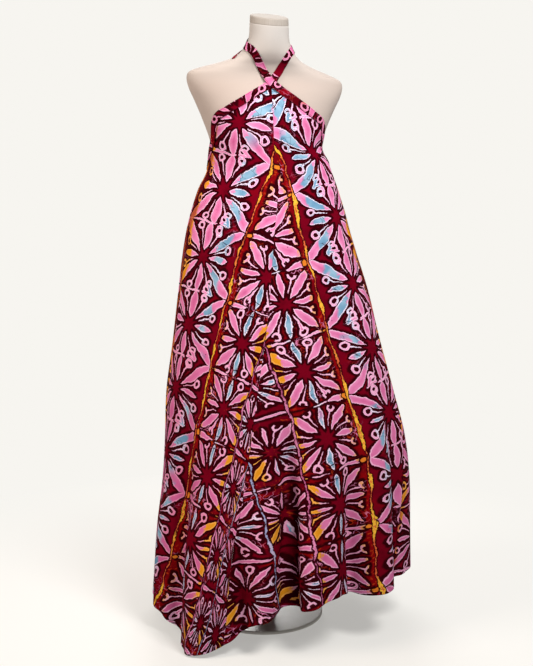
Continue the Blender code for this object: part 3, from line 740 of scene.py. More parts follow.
def print_colour(p, q, height, dyed, bare, plain, deep):
    """Colour of the wax print at a place across and along its stripes.

    Blue and yellow areas show where dyed is 1. The petals are cut smaller by bare, and all
    light shapes by plain. The pinks are deeper where deep is 1. Towards the hem they are deeper
    still and the petals smaller, as painted shade.
    """
    # Painted shade: low grows towards the hem, and there it deepens the pinks and cuts the petals
    # smaller
    low = fall(height, 0.10, 0.85)
    high = ramp(height, 0.80, 0.95)
    chest = ramp(height, 1.0, 1.1)
    deep = clamp(low * 0.75 + deep)
    bare = low * 0.0030 - high * 0.0006 + 0.0006 + bare
    uneven = partial(noise, p, q)
    wobble_p = uneven(16.0, 0.0) * 0.012 + uneven(60.0, 5.0) * 0.004
    wobble_q = uneven(16.0, 9.0) * 0.012 + uneven(60.0, 14.0) * 0.004
    swell = uneven(13.0, 23.0)
    p, q = p + wobble_p, q + wobble_q
    uneven = partial(noise, p, q)

    # The stripe and the flower that a point lies in, and its place s along and t across from it
    row = floor(q / PITCH + 0.5)
    s = q - row * PITCH
    silver, rose, yellow, orange = (over(p, line) for line in (SILVER, ROSE, YELLOW, ORANGE))
    centre = silver * 0.115 + rose * 0.1105 + yellow * 0.1815 + orange * 0.200 - 0.359
    size = 0.90 - silver * 0.12 + rose * 0.20 + yellow * 0.02
    t = (p - centre) * (1.0 - yellow * 2.0)
    lean = noise(row * 0.37, centre * 9.0, 5.0, 17.0) * 0.20
    s, t = s + t * lean, t - s * lean
    down, aside = absolute(s) / size, absolute(t) / size
    edge = 0.5 * PITCH - absolute(s)
    between = rose * (1.0 - yellow)

    slim = swell * 0.40 + rose * 0.10 - yellow * 0.04 + 0.85
    open_ring = over(uneven(8.0, 27.0), -0.02) * (1.0 - yellow)
    wedge = over(s, 0.0) * over(t, 0.0) * between
    shape = flower(down, aside, slim, bare, yellow, wedge, open_ring) * size
    shape = larger(shape, 0.0034 - edge - yellow * 0.0030)
    broken = ramp(uneven(26.0, 131.0), 0.04, 0.12) * (1.0 - yellow)
    shape = smaller(shape, marks_between(s, t, edge, rose, yellow, broken))
    shape = shape + uneven(240.0, 31.0) * 0.0016 + plain

    # The stripe lines stay clear, and so does a plain band below the yellow one
    clear = absolute(p - YELLOW)
    for place in (ROSE, SILVER, ORANGE):
        clear = smaller(clear, absolute(p - place))
    shape = larger(shape, 0.0046 - clear)
    shape = larger(shape, (1.0 - yellow) * (p - YELLOW + 0.0165) - yellow)
    inside = fall(shape, -0.0003, 0.0003)
    rim = inside * ramp(shape - high * 0.0005, -0.0025, -0.0016)
    mottle = uneven(30.0, 40.0)
    contour = ramp(shape, 0.0, 0.0003) * fall(shape + mottle * 0.003, 0.0050, 0.0084)

    # Ground, with red patches, flecks near the lines and scribbles
    fleck = uneven(150.0, 44.0)
    patches = ramp(uneven(9.0, 50.0), 0.02, 0.2) * (1.0 - yellow * 0.6)
    patches = patches * ramp(uneven(42.0, 53.0), -0.16, 0.04)
    from_centre = root(down * down + aside * aside)
    red = clamp(between + orange * 0.6 + patches) * ramp(from_centre, 0.022, 0.034)
    colour = blend(MAROON, DARK_RED, red)
    colour = blend(colour, DARK_MAROON, ramp(mottle, 0.0, 0.35) * 0.6)
    # Past the far side of the yellow stripe's flowers the ground turns dark brown and the petals
    # rust: partly the print's colour, partly painted shade of the side that turns away
    far = yellow * ramp(mottle * 0.012 - t, 0.068, 0.078) * 0.85
    colour = blend(colour, DARK_BROWN, far)
    near_line = ramp(uneven(11.0, 137.0) - clear * 6.0, -0.16, 0.0) * (1.0 - yellow)
    colour = blend(colour, FLECK_ORANGE, near_line * ramp(fleck, 0.14, 0.26) * 0.75)
    scribble = fall(absolute(uneven(78.0, 101.0)), 0.018, 0.042) * ramp(shape, 0.0022, 0.0032)
    scribble = scribble * ramp(uneven(13.0, 107.0), 0.04, 0.12) * (1.0 - yellow * 0.7)
    scribble = scribble * ramp(from_centre, 0.036, 0.046) * 0.8
    colour = blend(colour, CONTOUR, contour)
    colour = blend(colour, blend(PINK, FLECK_ORANGE, ramp(mottle, -0.1, 0.1)), scribble)

    # Areas of the petals that were dyed blue or yellow
    dye = ramp(uneven(7.5, 119.0) + high * 0.08, -0.24, -0.14)
    blue = yellow * (1.0 - orange) * ramp(t + fleck * 0.02 + chest * 0.005, 0.032, 0.038) * dye
    blue = blue * fall(t + mottle * 0.03 - chest * 0.007, 0.060, 0.068)
    axis_blue = between * fall(absolute(t), 0.009, 0.012) * ramp(uneven(9.0, 123.0), -0.20, -0.10)
    blue = blue + axis_blue * over(absolute(s), 0.018)
    low_blue = ramp(s + t, 0.026, 0.032) * fall(s + t, 0.048, 0.058) * dye
    blue = clamp(blue + (1.0 - rose) * low_blue * over(t, 0.0)) * dyed
    some = uneven(6.0, 139.0) * 0.06 + fleck * 0.010 + high * 0.010
    amber = yellow * ramp(some - t, 0.062, 0.067)
    some = uneven(10.0, 113.0) * 0.03 + fleck * 0.012 - t
    amber = amber + between * ramp(some, 0.046, 0.050)
    amber = amber + (1.0 - rose) * ramp(some, 0.020, 0.026) * over(s, 0.0)
    amber = clamp(amber + between * ramp(t + fleck * 0.02, 0.058, 0.066) * 0.8) * dyed

    # Petals, with rims, crackle and dots
    fill = clamp(ramp(shape, -0.0110, -0.0030) * 0.6 + ramp(mottle, -0.3, 0.3) * 0.6)
    fill = blend(DEEP_AND_SHADED_PINK, PINK, fill * (1.0 - deep * 0.9))
    fill = blend(fill, blend(DEEP_SKY, SKY, ramp(mottle, -0.2, 0.2)), blue)
    fill = blend(blend(fill, AMBER, amber), RUST, far)
    # The rims take the deep colour with the painted shade, but stay pale at the very hem as painted
    # light on it
    light = blend(RIM_PINK, DEEP_AND_SHADED_RIM, deep * ramp(height, 0.04, 0.26))
    light = blend(light, RIM_SKY, blue * (1.0 - deep * 0.5))
    light = blend(blend(light, RIM_AMBER, amber), RIM_RUST, far)
    colour = blend(blend(colour, fill, inside), light, rim)
    cracks = inside * blue * fall(cells(p, q, 74.0, "DISTANCE_TO_EDGE"), 0.010, 0.040)
    cracks = cracks * ramp(uneven(36.0, 48.0), -0.04, 0.10) * 0.85
    caps = axis_blue * inside * fall(absolute(down - 0.067), 0.0005, 0.0014)
    colour = blend(colour, CRACKLE, clamp(cracks + caps))
    dots = fall(cells(p, q, 38.0, "F1"), 0.030, 0.060)
    colour = blend(colour, CRACKLE, dots * inside * 0.75)
    return with_lines(with_blobs(colour, p, q, edge, dyed), p, q, dyed)


TURN = 2.0 * math.pi
THREAD_WAVE = TURN / 0.0009
STITCH_WAVE = TURN / 0.0032
STITCH_THREAD = linear(96, 16, 40)
HEM_STITCH = 0.0125


def batik_material(name, stitch_line, dyed, bare, plain, deep):
    """Plain-woven printed cotton, with a row of stitches at a distance from its edge."""
    kit = Kit(name)
    p, q = kit.map("print")
    x, y, z = kit.place()
    # Painted shade: the pinks are deeper on the left of the skirt below the waist, where the side
    # turns from the lamps
    deep = fall(x, -0.20, -0.06) * fall(z, 0.75, 0.95) * 0.45 + deep
    colour = print_colour(p, q, z, dyed, bare, plain, deep)
    from_edge, along = kit.map("edge")
    stitch_gap = absolute(from_edge - stitch_line)
    thread = fall(stitch_gap, 0.00025, 0.0004) * ramp(sine(along * STITCH_WAVE), -0.5, -0.2)
    colour = blend(colour, STITCH_THREAD, thread)
    weave = sine(p * THREAD_WAVE) * sine(q * THREAD_WAVE)
    groove = fall(stitch_gap, 0.0, 0.0012)
    soft = bump(noise(p, q, 34.0, 90.0, 2.0) * 5.0, 0.0003, 0.6)
    sunk = bump(thread * 1.2 - groove, 0.0004, 0.8, soft)
    normal = bump(weave, 0.00005, 0.5, sunk)
    rough = ramp(noise(p, q, 20.0, 95.0), -0.5, 0.5) * 0.10 + 0.74
    return kit.finish(colour, normal, rough, {"Specular IOR Level": 0.02})


def jersey_material():
    """Fine knit cover, stretched smooth over the form."""
    kit = Kit("form_jersey")
    x, y, z = kit.place()
    shade = noise(x, z, 3.0, 1.0, 2.0)
    grain = noise(x + y, z, 900.0, 3.0)
    colour = blend(linear(196, 181, 172), linear(190, 173, 163), ramp(shade, -0.3, 0.3))
    colour = blend(colour, linear(176, 160, 150), ramp(grain, -0.4, 0.6) * 0.3)
    # Painted cool light: the cover turns greyer and cooler towards the neck
    colour = blend(colour, linear(190, 186, 182), ramp(z, 1.33, 1.44) * 0.8)
    rows = sine(z * (TURN / 0.0011))
    wales = sine((x + y * 0.6) * (TURN / 0.0013))
    normal = bump(rows * wales + grain * 2.0, 0.00006, 0.6)
    return kit.finish(colour, normal, 0.82, {"Specular IOR Level": 0.25, "Sheen Weight": 0.06})


def cap_material():
    """Slightly darker cover of the neck's flat end."""
    kit = Kit("neck_cap")
    x, y, z = kit.place()
    grain = noise(x, y, 600.0, 3.0)
    colour = blend(linear(172, 163, 155), linear(157, 148, 139), ramp(grain, -0.4, 0.5))
    return kit.finish(colour, bump(grain, 0.00008, 0.6), 0.7, {"Specular IOR Level": 0.3})


def paint_material():
    """Satin cream paint on metal, with faint unevenness and wear."""
    kit = Kit("stand_metal")
    x, y, z = kit.place()
    uneven = partial(noise, x + z, y)
    tone = uneven(18.0, 2.0, 2.0)
    colour = blend(linear(238, 234, 226), linear(229, 224, 214), ramp(tone, -0.3, 0.3))
    colour = blend(colour, linear(190, 184, 172), ramp(uneven(260.0, 7.0), 0.34, 0.42) * 0.5)
    normal = bump(uneven(420.0, 11.0), 0.00004, 0.5)
    rough = ramp(tone, -0.4, 0.4) * 0.12 + 0.36
    return kit.finish(colour, normal, rough, {"Specular IOR Level": 0.4})


# Colour of the backdrop and of the far floor, and how far the floor changes from one that takes
# shade to one that is as bright as the backdrop
BACKDROP = (0.930, 0.913, 0.871, 1.0)
NEAR_FLOOR = 0.40
FAR_FLOOR = 1.30
FLOOR_GLOW = 0.42


def floor_material():
    """Pale floor that runs without a step into the backdrop."""
    kit = Kit("floor")
    x, y, z = kit.place()
    far = ramp(root(x * x + y * y), NEAR_FLOOR, FAR_FLOOR)
    tone = ramp(noise(x, y, 1.5, 2.0), -0.5, 0.5)
    pale = blend((0.46, 0.455, 0.44, 1.0), (0.45, 0.445, 0.43, 1.0), tone)
    colour = blend(pale, (0.0, 0.0, 0.0, 1.0), far)
    glow = blend(tuple(FLOOR_GLOW * value for value in BACKDROP), BACKDROP, far)
    settings = {"Specular IOR Level": 0.0, "Emission Color": glow, "Emission Strength": 1.0}
    return kit.finish(colour, None, 0.9, settings)


PANEL_COTTON = batik_material("batik_cotton", HEM_STITCH, 1.0, 0.0016, 0.0, 0.0)
BAND_COTTON = batik_material("batik_binding", 0.0022, 0.0, 0.0052, 0.0002, 0.8)
TIE_COTTON = batik_material("batik_tie_end", 0.0016, 0.0, 0.0, 0.05, 0.8)
JERSEY = jersey_material()
CAP = cap_material()
PAINT = paint_material()
FLOOR = floor_material()


def add_piece(name, shape, material):
    """Smooth object from a bmesh."""
    bmesh.ops.recalc_face_normals(shape, faces=shape.faces)
    mesh = bpy.data.meshes.new(name)
    shape.to_mesh(mesh)
    shape.free()
    mesh.materials.append(material)
    mesh.shade_smooth()
    piece = bpy.data.objects.new(name, mesh)
    bpy.context.scene.collection.objects.link(piece)
    return piece


def stands_for(piece, node):
    """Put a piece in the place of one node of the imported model."""
    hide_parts(node)
    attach(piece, "root")
    return piece


class Shell:
    """Faces between grids of points, with both maps of the cloth."""

    def __init__(self, prints, edges):
        self.shape = bmesh.new()
        print_map = self.shape.loops.layers.uv.new("print")
        edge_map = self.shape.loops.layers.uv.new("edge")
        self.maps = ((print_map, prints), (edge_map, edges))

    def grid(self, points):
        return [[self.shape.verts.new(point) for point in row] for row in points]

    def face(self, corners, places):
        made = self.shape.faces.new(corners)
        for loop, place in zip(made.loops, places):
            for layer, values in self.maps:
                loop[layer].uv = values[place]


def walled_grid(name, outer, inner, prints, edges, material):
    """Closed thin shell between two grids of points."""
    rows, columns = outer.shape[:2]
    shell = Shell(prints, edges)
    out, back = shell.grid(outer), shell.grid(inner)

    def face(corners):
        points = [grid[row][column] for grid, row, column in corners]
        shell.face(points, [(row, column) for _, row, column in corners])

    for row in range(rows - 1):
        for column in range(columns - 1):
            square = [(row, column), (row + 1, column), (row + 1, column + 1), (row, column + 1)]
            face([(out, *corner) for corner in square])
            face([(back, *corner) for corner in reversed(square)])
    for row in range(rows - 1):
        for column in (0, columns - 1):
            here, there = (row, column), (row + 1, column)
            face([(out, *here), (back, *here), (back, *there), (out, *there)])
    for column in range(columns - 1):
        for row in (0, rows - 1):
            here, there = (row, column), (row, column + 1)
            face([(out, *here), (out, *there), (back, *there), (back, *here)])
    return add_piece(name, shell.shape, material)


def closed_rings(name, rings, prints, edges, material):
    """Closed solid through rings of points, with a fan of faces at each end."""
    count, columns = rings.shape[:2]
    shell = Shell(prints, edges)
    grid = shell.grid(rings)
    first, last = (shell.shape.verts.new(rings[row].mean(axis=0)) for row in (0, -1))
    for row in range(count - 1):
        for column in range(columns):
            after = (column + 1) % columns
            places = [(row, column), (row, after), (row + 1, after), (row + 1, column)]
            shell.face([grid[a][b] for a, b in places], places)
    end = count - 1
    for column in range(columns):
        after = (column + 1) % columns
        places = [(0, after), (0, column), (0, column)]
        shell.face([grid[0][after], grid[0][column], first], places)
        places = [(end, column), (end, after), (end, column)]
        shell.face([grid[end][column], grid[end][after], last], places)
    return add_piece(name, shell.shape, material)


def cloth_area(points):
    """Area of a grid of points, in square metres."""
    first = np.cross(points[1:, :-1] - points[:-1, :-1], points[:-1, 1:] - points[:-1, :-1])
    second = np.cross(points[1:, 1:] - points[1:, :-1], points[1:, 1:] - points[:-1, 1:])
    return 0.5 * (np.linalg.norm(first, axis=-1).sum() + np.linalg.norm(second, axis=-1).sum())


PANEL_COLUMNS = 100
PANEL_ROWS = 170
ROW_GROWTH = 1.15
LAST_ROW = 0.965
EDGE_SHARES = (0.0, 0.0025, 0.0065, 0.013)
HEM_STEPS = (
    0.030, 0.022, 0.017, 0.0145, 0.0132, HEM_STITCH, 0.0118, 0.0105, 0.008, 0.005, 0.0022, 0.0008,
    0.0,
)
HEM_ALLOWANCE = 0.04
SEAM_SOFTNESS = 0.02

# Creases that the main folds carry near the hem, in the form of the folds' table
CREASES = (
    (-63, -65, 0.70, 2.4, -0.005),
    (-50, -55, 0.50, 3.0, 0.004),
    (-33, -26, 0.50, 2.2, -0.007),
    (-15, -16, 0.55, 4.0, 0.012),
    (-7, -5, 0.66, 3.2, -0.028),
    (3, 5, 0.55, 3.6, 0.012),
    (20, 27, 0.52, 2.3, -0.014),
    (28, 34, 0.55, 2.8, 0.007),
    (50, 57, 0.62, 2.2, -0.006),
    (64, 70, 0.55, 2.8, 0.004),
    (83, 90, 0.66, 2.2, -0.006),
    (98, 101, 0.50, 3.0, 0.004),
    (117, 124, 0.60, 2.3, -0.007),
    (149, 155, 0.54, 2.2, -0.006),
    (166, 163, 0.48, 2.8, 0.005),
    (185, 190, 0.60, 2.2, -0.007),
    (221, 226, 0.57, 2.3, -0.006),
    (240, 236, 0.50, 2.8, 0.004),
    (255, 261, 0.62, 2.2, -0.006),
)
CREASE_HASTE = 1.6


def bell(value, width):
    """Smooth hill that is 1 high where value is 0."""
    return np.exp(-((value / width) ** 2))


def wrinkles(angle, height, from_top, from_hem):
    """Small unevenness of the hanging cloth, which dies out where the cloth is fitted."""
    turn = np.radians(angle)
    free = smooth_step((1.10 - height) / 0.25) * smooth_step(from_top / 0.05)
    slow = np.sin(9.0 * turn + 3.1 * height + 0.6) * np.sin(4.3 * height + 1.1)
    fine = np.sin(23.0 * turn - 7.0 * height + 2.0) * np.sin(11.0 * height + 5.0 * turn)
    flutes = np.sin(31.0 * turn + 1.7 * np.sin(5.0 * turn)) + 0.6 * np.sin(47.0 * turn + 2.2)
    near_hem = np.exp(-from_hem / 0.10)
    waist = bell(height - 1.00, 0.07) * smooth_step(from_top / 0.08)
    drag = np.sin(60.0 * (height + 0.05 * np.cos(2.0 * turn)) + 4.0 * turn) * np.abs(np.sin(turn))
    return free * (0.0022 * slow + 0.0011 * fine + near_hem * 0.0022 * flutes) + waist * drag * 0.0006


def make_panel(name, start_angle, end_angle, lay):
    """One of the four cut pieces, from its top edge to the hem, between two seams."""
    shares = np.concatenate(
        [EDGE_SHARES, np.linspace(0.02, 0.98, PANEL_COLUMNS), 1.0 - np.array(EDGE_SHARES[::-1])]
    )
    falls = np.linspace(0.0, 1.0, PANEL_ROWS) ** ROW_GROWTH
    falls = falls[falls < LAST_ROW]
    top_angle = start_angle + (end_angle - start_angle) * shares
    top = edge_height(wrapped(top_angle)) - EDGE_UNDER_BAND
    hem = hem_height(wrapped(top_angle + dress_twist(FOLD_HEM_HEIGHT)))
    upper = top[None, :] - falls[:, None] * (top - hem)[None, :]
    lower = hem[None, :] + np.array(HEM_STEPS)[:, None]
    height = np.concatenate([upper, lower])
    angle = top_angle[None, :] + dress_twist(height)
    across, _ = slopes_of(dress_point, angle, height)
    gap = 0.5 * SEAM_GAP / np.linalg.norm(across, axis=-1)
    angle[:, 0] += gap[:, 0]
    angle[:, -1] -= gap[:, -1]
    middle = dress_point(angle, height)
    normal = normal_of(dress_point, angle, height)
    from_top = top[None, :] - height
    from_hem = height - hem[None, :]

    # Lengths of cloth to the nearer seam, for the soft dip along it
    steps = lengths_along(middle, 1)
    run = np.concatenate([np.zeros((len(height), 1)), np.cumsum(steps, axis=1)], axis=1)
    to_seam = np.minimum(run, run[:, -1:] - run)
    creases = fold_offset(CREASES, angle, height, CREASE_HASTE)
    ripple = wrinkles(angle, height, from_top, from_hem) + creases
    middle = middle + normal * (ripple * smooth_step(to_seam / SEAM_SOFTNESS))[..., None]
    dip = 0.00035 * bell(to_seam, 0.0018)
    stitch = 0.00030 * bell(from_hem - HEM_STITCH, 0.0009)
    turned = smooth_step((HEM_STITCH - from_hem) / 0.002) * 0.0005
    rounded = 0.00045 * bell(from_hem, 0.0009)
    outer = middle + normal * (0.5 * CLOTH_THICKNESS - dip - stitch - rounded)[..., None]
    inner = middle - normal * (0.5 * CLOTH_THICKNESS - dip + turned - rounded)[..., None]
    edges = np.stack([from_hem, run], -1)
    piece = walled_grid(name + "_cloth", outer, inner, lay(angle, height), edges, PANEL_COTTON)
    stands_for(piece, name)
    length = float(lengths_along(middle[:, middle.shape[1] // 2], 0).sum())
    return piece, float(cloth_area(middle)), float(run[-1, -1]), length


ON_FORM = 0.5 * (BAND_THICKNESS - CLOTH_THICKNESS)
ON_PANEL = 0.5 * (CLOTH_THICKNESS + BAND_THICKNESS) + PANEL_TO_BAND
ON_BAND = ON_PANEL + BAND_THICKNESS + LAYER_GAP
BAND_STEP = 0.003
# Places across a band, as shares of its width, and how full it is at each
SECTION_HALF = ((0.5, 0.30), (0.492, 0.62), (0.46, 0.90), (0.40, 0.84), (0.28, 1.0), (0.14, 1.0))
SECTION = (
    *((-side, fill) for side, fill in SECTION_HALF),
    (0.0, 1.0),
    *reversed(SECTION_HALF),
)


def route_through(line):
    """Length of a smooth line through (angle, height) rows, and its places by length."""
    lengths = [0.0]
    for before, after in zip(line, line[1:]):
        step = dress_point(*after) - dress_point(*before)
        lengths.append(lengths[-1] + float(np.linalg.norm(step)))
    angle_at, height_at = curves_of([(length, *place) for length, place in zip(lengths, line)])
    return lengths[-1], angle_at, height_at


def length_where(angle_at, angle, whole):
    """Length along a line at which its angle passes the given one."""
    low, high = 0.0, whole
    rising = angle_at(whole) > angle_at(0.0)
    for _ in range(40):
        middle = 0.5 * (low + high)
        if (angle_at(middle) < angle) == rising:
            low = middle
        else:
            high = middle
    return low


def make_band(name, line, width, offset_at, start, end, print_start, taper=0.0, cotton=BAND_COTTON):
    """Folded strip of cloth that lies along a line on the dress or the form."""
    whole, angle_at, height_at = route_through(line)
    steps = max(4, round((end - start) / BAND_STEP))
    length = start + (end - start) * np.arange(steps + 1) / steps
    angle, height = angle_at(length), height_at(length)
    ahead, behind = np.minimum(length + 0.002, whole), np.maximum(length - 0.002, 0.0)
    along = dress_point(angle_at(ahead), height_at(ahead))
    along = along - dress_point(angle_at(behind), height_at(behind))
    sideways = unit(np.cross(normal_of(dress_point, angle, height), along))
    sides, fills = np.array(SECTION).T
    beside = sides[None, :] * width
    ease = 1.0 - taper * smooth_step((length - end + 0.02) / 0.02)
    reach = (beside * ease[:, None])[..., None]
    target = dress_point(angle, height)[:, None, :] + sideways[:, None, :] * reach
    wide_angle = np.repeat(angle[:, None], len(sides), axis=1)
    wide_height = np.repeat(height[:, None], len(sides), axis=1)
    place = nearest_place(target, wide_angle, wide_height)
    normal = normal_of(dress_point, *place)
    middle = dress_point(*place) + normal * offset_at(length)[:, None, None]
    pucker = np.sin(length[:, None] * 520.0 + sides[None, :] * 5.0)
    pucker = pucker * np.sin(length[:, None] * 137.0 + 1.0) * (1.0 - 4.0 * sides[None, :] ** 2)
    fill = fills[None, :] * (0.5 * BAND_THICKNESS)
    outer = middle + normal * (fill + 0.00016 * pucker)[..., None]
    inner = middle - normal * fill[..., None]

    # The band is cut on the bias, so the print lies across it at 45 degrees
    run = length[:, None] - start
    stripe = print_start[0] + (run - beside) * math.sqrt(0.5)
    row = print_start[1] + (run + beside) * math.sqrt(0.5)
    from_edge = 0.5 * width - np.abs(beside) + 0.0 * run
    prints = np.stack([stripe, row], -1)
    edges = np.stack([from_edge, run + 0.0 * beside], -1)
    piece = walled_grid(name + "_cloth", outer, inner, prints, edges, cotton)
    return stands_for(piece, name), float(end - start)


def make_halter_band(side, side_name, strap_name, top_offset, print_start):
    """Binding of one armhole and the strap that it turns into past the crossing."""
    line = [(side * angle, height) for angle, height in reversed(TOP_EDGE) if angle <= 108]
    binding_length = route_through(line)[0]
    line += [(-side * angle, height) for angle, height in STRAP_LINE]
    whole, angle_at, _ = route_through(line)

    def offset_at(length):
        """Offset on the panel, over the crossing and on the form."""
        past = length - binding_length
        rise = smooth_step((np.abs(past) - CROSSING_FLAT) / CROSSING_RAMP)
        return top_offset + (np.where(past < 0.0, ON_PANEL, ON_FORM) - top_offset) * rise

    binding_start = length_where(angle_at, side * 90.0, whole) + SEAM_GAP
    split = binding_length + BAND_SPLIT
    strap_end = length_where(angle_at, -side * 180.0, whole) - 0.5 * SEAM_GAP
    strap_print = (print_start[0] + 0.05, print_start[1] + 0.10)
    return [
        make_band(name, line, BAND_WIDTH, offset_at, start, end, place)
        for name, start, end, place in (
            (f"armhole_binding_{side_name}", binding_start, split, print_start),
            (f"halter_strap_{strap_name}", split + SEAM_GAP, strap_end, strap_print),
        )
    ]


def make_back_binding():
    """Binding of the back's top edge, from side seam to side seam."""
    right = [place for place in TOP_EDGE if place[0] >= 80]
    line = right + [(360.0 - angle, height) for angle, height in reversed(right[:-1])]
    whole, angle_at, _ = route_through(line)
    start, end = (length_where(angle_at, angle, whole) for angle in (90.0, 270.0))
    return make_band(
        "back_binding", line, BAND_WIDTH, lambda length: ON_PANEL + 0.0 * length,
        start + SEAM_GAP, end - SEAM_GAP, (0.02, 0.05),
    )


def make_tie_end(name, line, print_start):
    """Loose end of a halter band, which lies on the form below the knot."""
    whole = route_through(line)[0]
    return make_band(
        name, line, TIE_WIDTH, lambda length: ON_FORM + 0.0 * length, 0.0, whole, print_start,
        0.25, TIE_COTTON,
    )


KNOT_HALF_WIDTH = 0.016
KNOT_HALF_DEPTH = 0.009
KNOT_HALF_HEIGHT = 0.014
KNOT_POWER = 2.0 / 3.0


def rounded_power(value):
    """Power of numbers that keeps their sign, for the knot's rounded box."""
    return np.sign(value) * np.abs(value) ** KNOT_POWER


def make_knot():
    """Knot at the nape: one strap wraps over the other, with pleats at both sides."""
    nape = np.array(180.0), np.array(NAPE_HEIGHT)
    out = normal_of(dress_point, *nape)
    seat = ON_FORM + 0.5 * BAND_THICKNESS + LAYER_GAP
    centre = dress_point(*nape) + out * (seat + KNOT_HALF_DEPTH)
    across = unit(np.cross(np.array([0.0, 0.0, 1.0]), out))
    upward = np.cross(out, across)
    climb = np.radians(np.linspace(-86.0, 86.0, 44))[:, None]
    turn = np.radians(np.linspace(0.0, 360.0, 64, endpoint=False))[None, :]
    level = KNOT_HALF_HEIGHT * rounded_power(np.sin(climb)) + 0.0 * turn
    reach = rounded_power(np.cos(climb))
    wide = KNOT_HALF_WIDTH * reach * rounded_power(np.cos(turn))
    deep = KNOT_HALF_DEPTH * reach * rounded_power(np.sin(turn))
    slant = wide + 0.25 * level
    groove = bell(np.abs(slant) - 0.0058, 0.0011)
    pleat = np.sin(level * 900.0 + np.sign(wide)) * smooth_step((np.abs(slant) - 0.006) / 0.003)
    ridge = np.cos(slant * 800.0) * smooth_step((0.0056 - np.abs(slant)) / 0.002)
    shrink = 1.0 - 0.16 * groove - 0.030 * (1.0 + pleat) - 0.012 * (1.0 - ridge)
    points = centre + (
        across * (wide * shrink)[..., None]
        - out * (deep * shrink)[..., None]
        + upward * (level * (0.5 + 0.5 * shrink))[..., None]
    )
    prints = np.stack([0.03 + wide - 0.4 * level, 0.07 + level + 0.6 * deep], -1)
    edges = np.full(prints.shape, 0.05)
    knot = closed_rings("halter_knot_cloth", points, prints, edges, BAND_COTTON)
    stands_for(knot, "halter_knot")


FORM_COLUMNS = 144
FORM_BOTTOM = 0.720
CAP_LINE = 1.4705
NECK_TOP = 1.488
NECK_ROUND = 0.003
CAP_HEIGHTS = (1.466, 1.4685, 1.4697, CAP_LINE, 1.4713, 1.4725, 1.476, 1.481, 1.4845)


def make_form():
    """Smooth covered torso, with a flat cap on the neck and a fine line round the cap."""
    turns = np.linspace(0.0, 360.0, FORM_COLUMNS, endpoint=False)
    heights = np.concatenate(
        [
            np.linspace(FORM_BOTTOM, 1.300, 90, endpoint=False),
            np.linspace(1.300, 1.400, 50, endpoint=False),
            np.linspace(1.400, 1.466, 22, endpoint=False),
            np.array(CAP_HEIGHTS),
        ]
    )
    insets = 0.0006 * bell(heights - CAP_LINE, 0.0007)
    insets = insets + 0.002 * np.maximum(1.0 - (heights - FORM_BOTTOM) / 0.004, 0.0)
    places = list(zip(heights, insets))
    for turn in np.radians(np.arange(15.0, 105.0, 15.0)):
        inset = NECK_ROUND * (1.0 - math.cos(turn))
        places.append((NECK_TOP - NECK_ROUND * (1.0 - math.sin(turn)), inset))
    rings = []
    for height, inset in places:
        points = form_point(turns, height)
        rings.append(points + unit(points.mean(axis=0) - points) * inset)
    top = rings[-1]
    middle = top.mean(axis=0)
    for share in (0.85, 0.6, 0.3):
        rings.append(middle + (top - middle) * share)
    rings = np.array(rings)
    blank = np.zeros(rings.shape[:2] + (2,))
    form = closed_rings("form_cover", rings, blank, blank, JERSEY)
    form.data.materials.append(CAP)
    cap_start = int(np.searchsorted(heights, CAP_LINE))
    for polygon in form.data.polygons:
        row = min(polygon.vertices) // FORM_COLUMNS
        if row >= cap_start or len(polygon.vertices) == 3 and row > 10:
            polygon.material_index = 1
    return stands_for(form, "form_torso")


def dress_stand():
    for name in ("stand_base", "stand_pole"):
        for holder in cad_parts[name].material_slots:
            holder.material = PAINT


def make_stage():
    shape = bmesh.new()
    bmesh.ops.create_circle(shape, cap_ends=True, segments=96, radius=40.0)
    floor = add_piece("floor", shape, FLOOR)
    floor.location.z = -0.0002
    floor.visible_diffuse = False
    floor.visible_shadow = False


# Soft lamps: name, place, aim, size, power and colour
LAMPS = (
    ("key", (0.65, -1.6, 2.7), (0.0, 0.0, 1.2), 1.0, 71.0, (1.0, 0.985, 0.965)),
    ("fill", (-2.4, -0.7, 2.2), (0.0, 0.0, 1.2), 1.4, 56.0, (1.0, 0.88, 0.78)),
    ("low back", (0.2, 2.7, 0.42), (0.0, 0.0, 0.1), 0.7, 50.0, (1.0, 0.99, 0.97)),
    ("back", (0.3, 2.6, 2.4), (0.0, 0.0, 0.9), 1.8, 60.0, (1.0, 0.99, 0.98)),
)


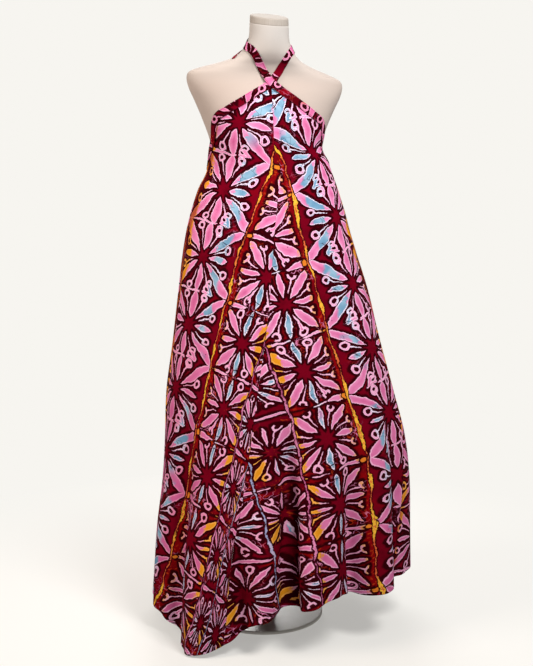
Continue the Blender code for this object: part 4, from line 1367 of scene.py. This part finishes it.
def make_lamp(name, place, aim, size, power, colour):
    light = bpy.data.lights.new(name, "AREA")
    light.shape = "DISK"
    light.size = size
    light.energy = power
    light.color = colour
    holder = bpy.data.objects.new(name, light)
    holder.location = place
    holder.rotation_euler = (Vector(aim) - Vector(place)).to_track_quat("-Z", "Y").to_euler()
    bpy.context.scene.collection.objects.link(holder)


def make_light():
    """Even backdrop, a dim even light from all sides, and the soft lamps."""
    world = bpy.data.worlds.new("studio")
    world.use_nodes = True
    tree = world.node_tree
    dim = tree.nodes["Background"]
    dim.inputs["Color"].default_value = (1.0, 0.985, 0.96, 1.0)
    dim.inputs["Strength"].default_value = 0.20
    seen = tree.nodes.new("ShaderNodeBackground")
    seen.inputs["Color"].default_value = BACKDROP
    rays = tree.nodes.new("ShaderNodeLightPath")
    choice = tree.nodes.new("ShaderNodeMixShader")
    tree.links.new(rays.outputs["Is Camera Ray"], choice.inputs[0])
    tree.links.new(dim.outputs[0], choice.inputs[1])
    tree.links.new(seen.outputs[0], choice.inputs[2])
    tree.links.new(choice.outputs[0], tree.nodes["World Output"].inputs[0])
    bpy.context.scene.world = world
    for lamp in LAMPS:
        make_lamp(*lamp)


bpy.context.scene.view_settings.view_transform = "Standard"
make_light()
make_stage()
dress_stand()
form_cover = make_form()

front_lay = print_lay(0.0, True, 0.0)
back_lay = print_lay(180.0, False, 0.06)
for name, start_angle, lay in (
    ("front_left", -90.0, front_lay),
    ("front_right", 0.0, front_lay),
    ("back_right", 90.0, back_lay),
    ("back_left", 180.0, back_lay),
):
    piece, area, width, length = make_panel(name, start_angle, start_angle + 90.0, lay)
    flat = (width, length + HEM_ALLOWANCE)

for piece, length in (
    *make_halter_band(1.0, "right", "left", ON_BAND, (-0.02, 0.0)),
    *make_halter_band(-1.0, "left", "right", ON_PANEL, (-0.10, 0.05)),
    make_back_binding(),
):
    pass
for piece, length in (
    make_tie_end("tie_end_left", LEFT_TIE_LINE, (-0.05, 0.0)),
    make_tie_end("tie_end_back", BACK_TIE_LINE, (0.0, 0.10)),
):
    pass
make_knot()
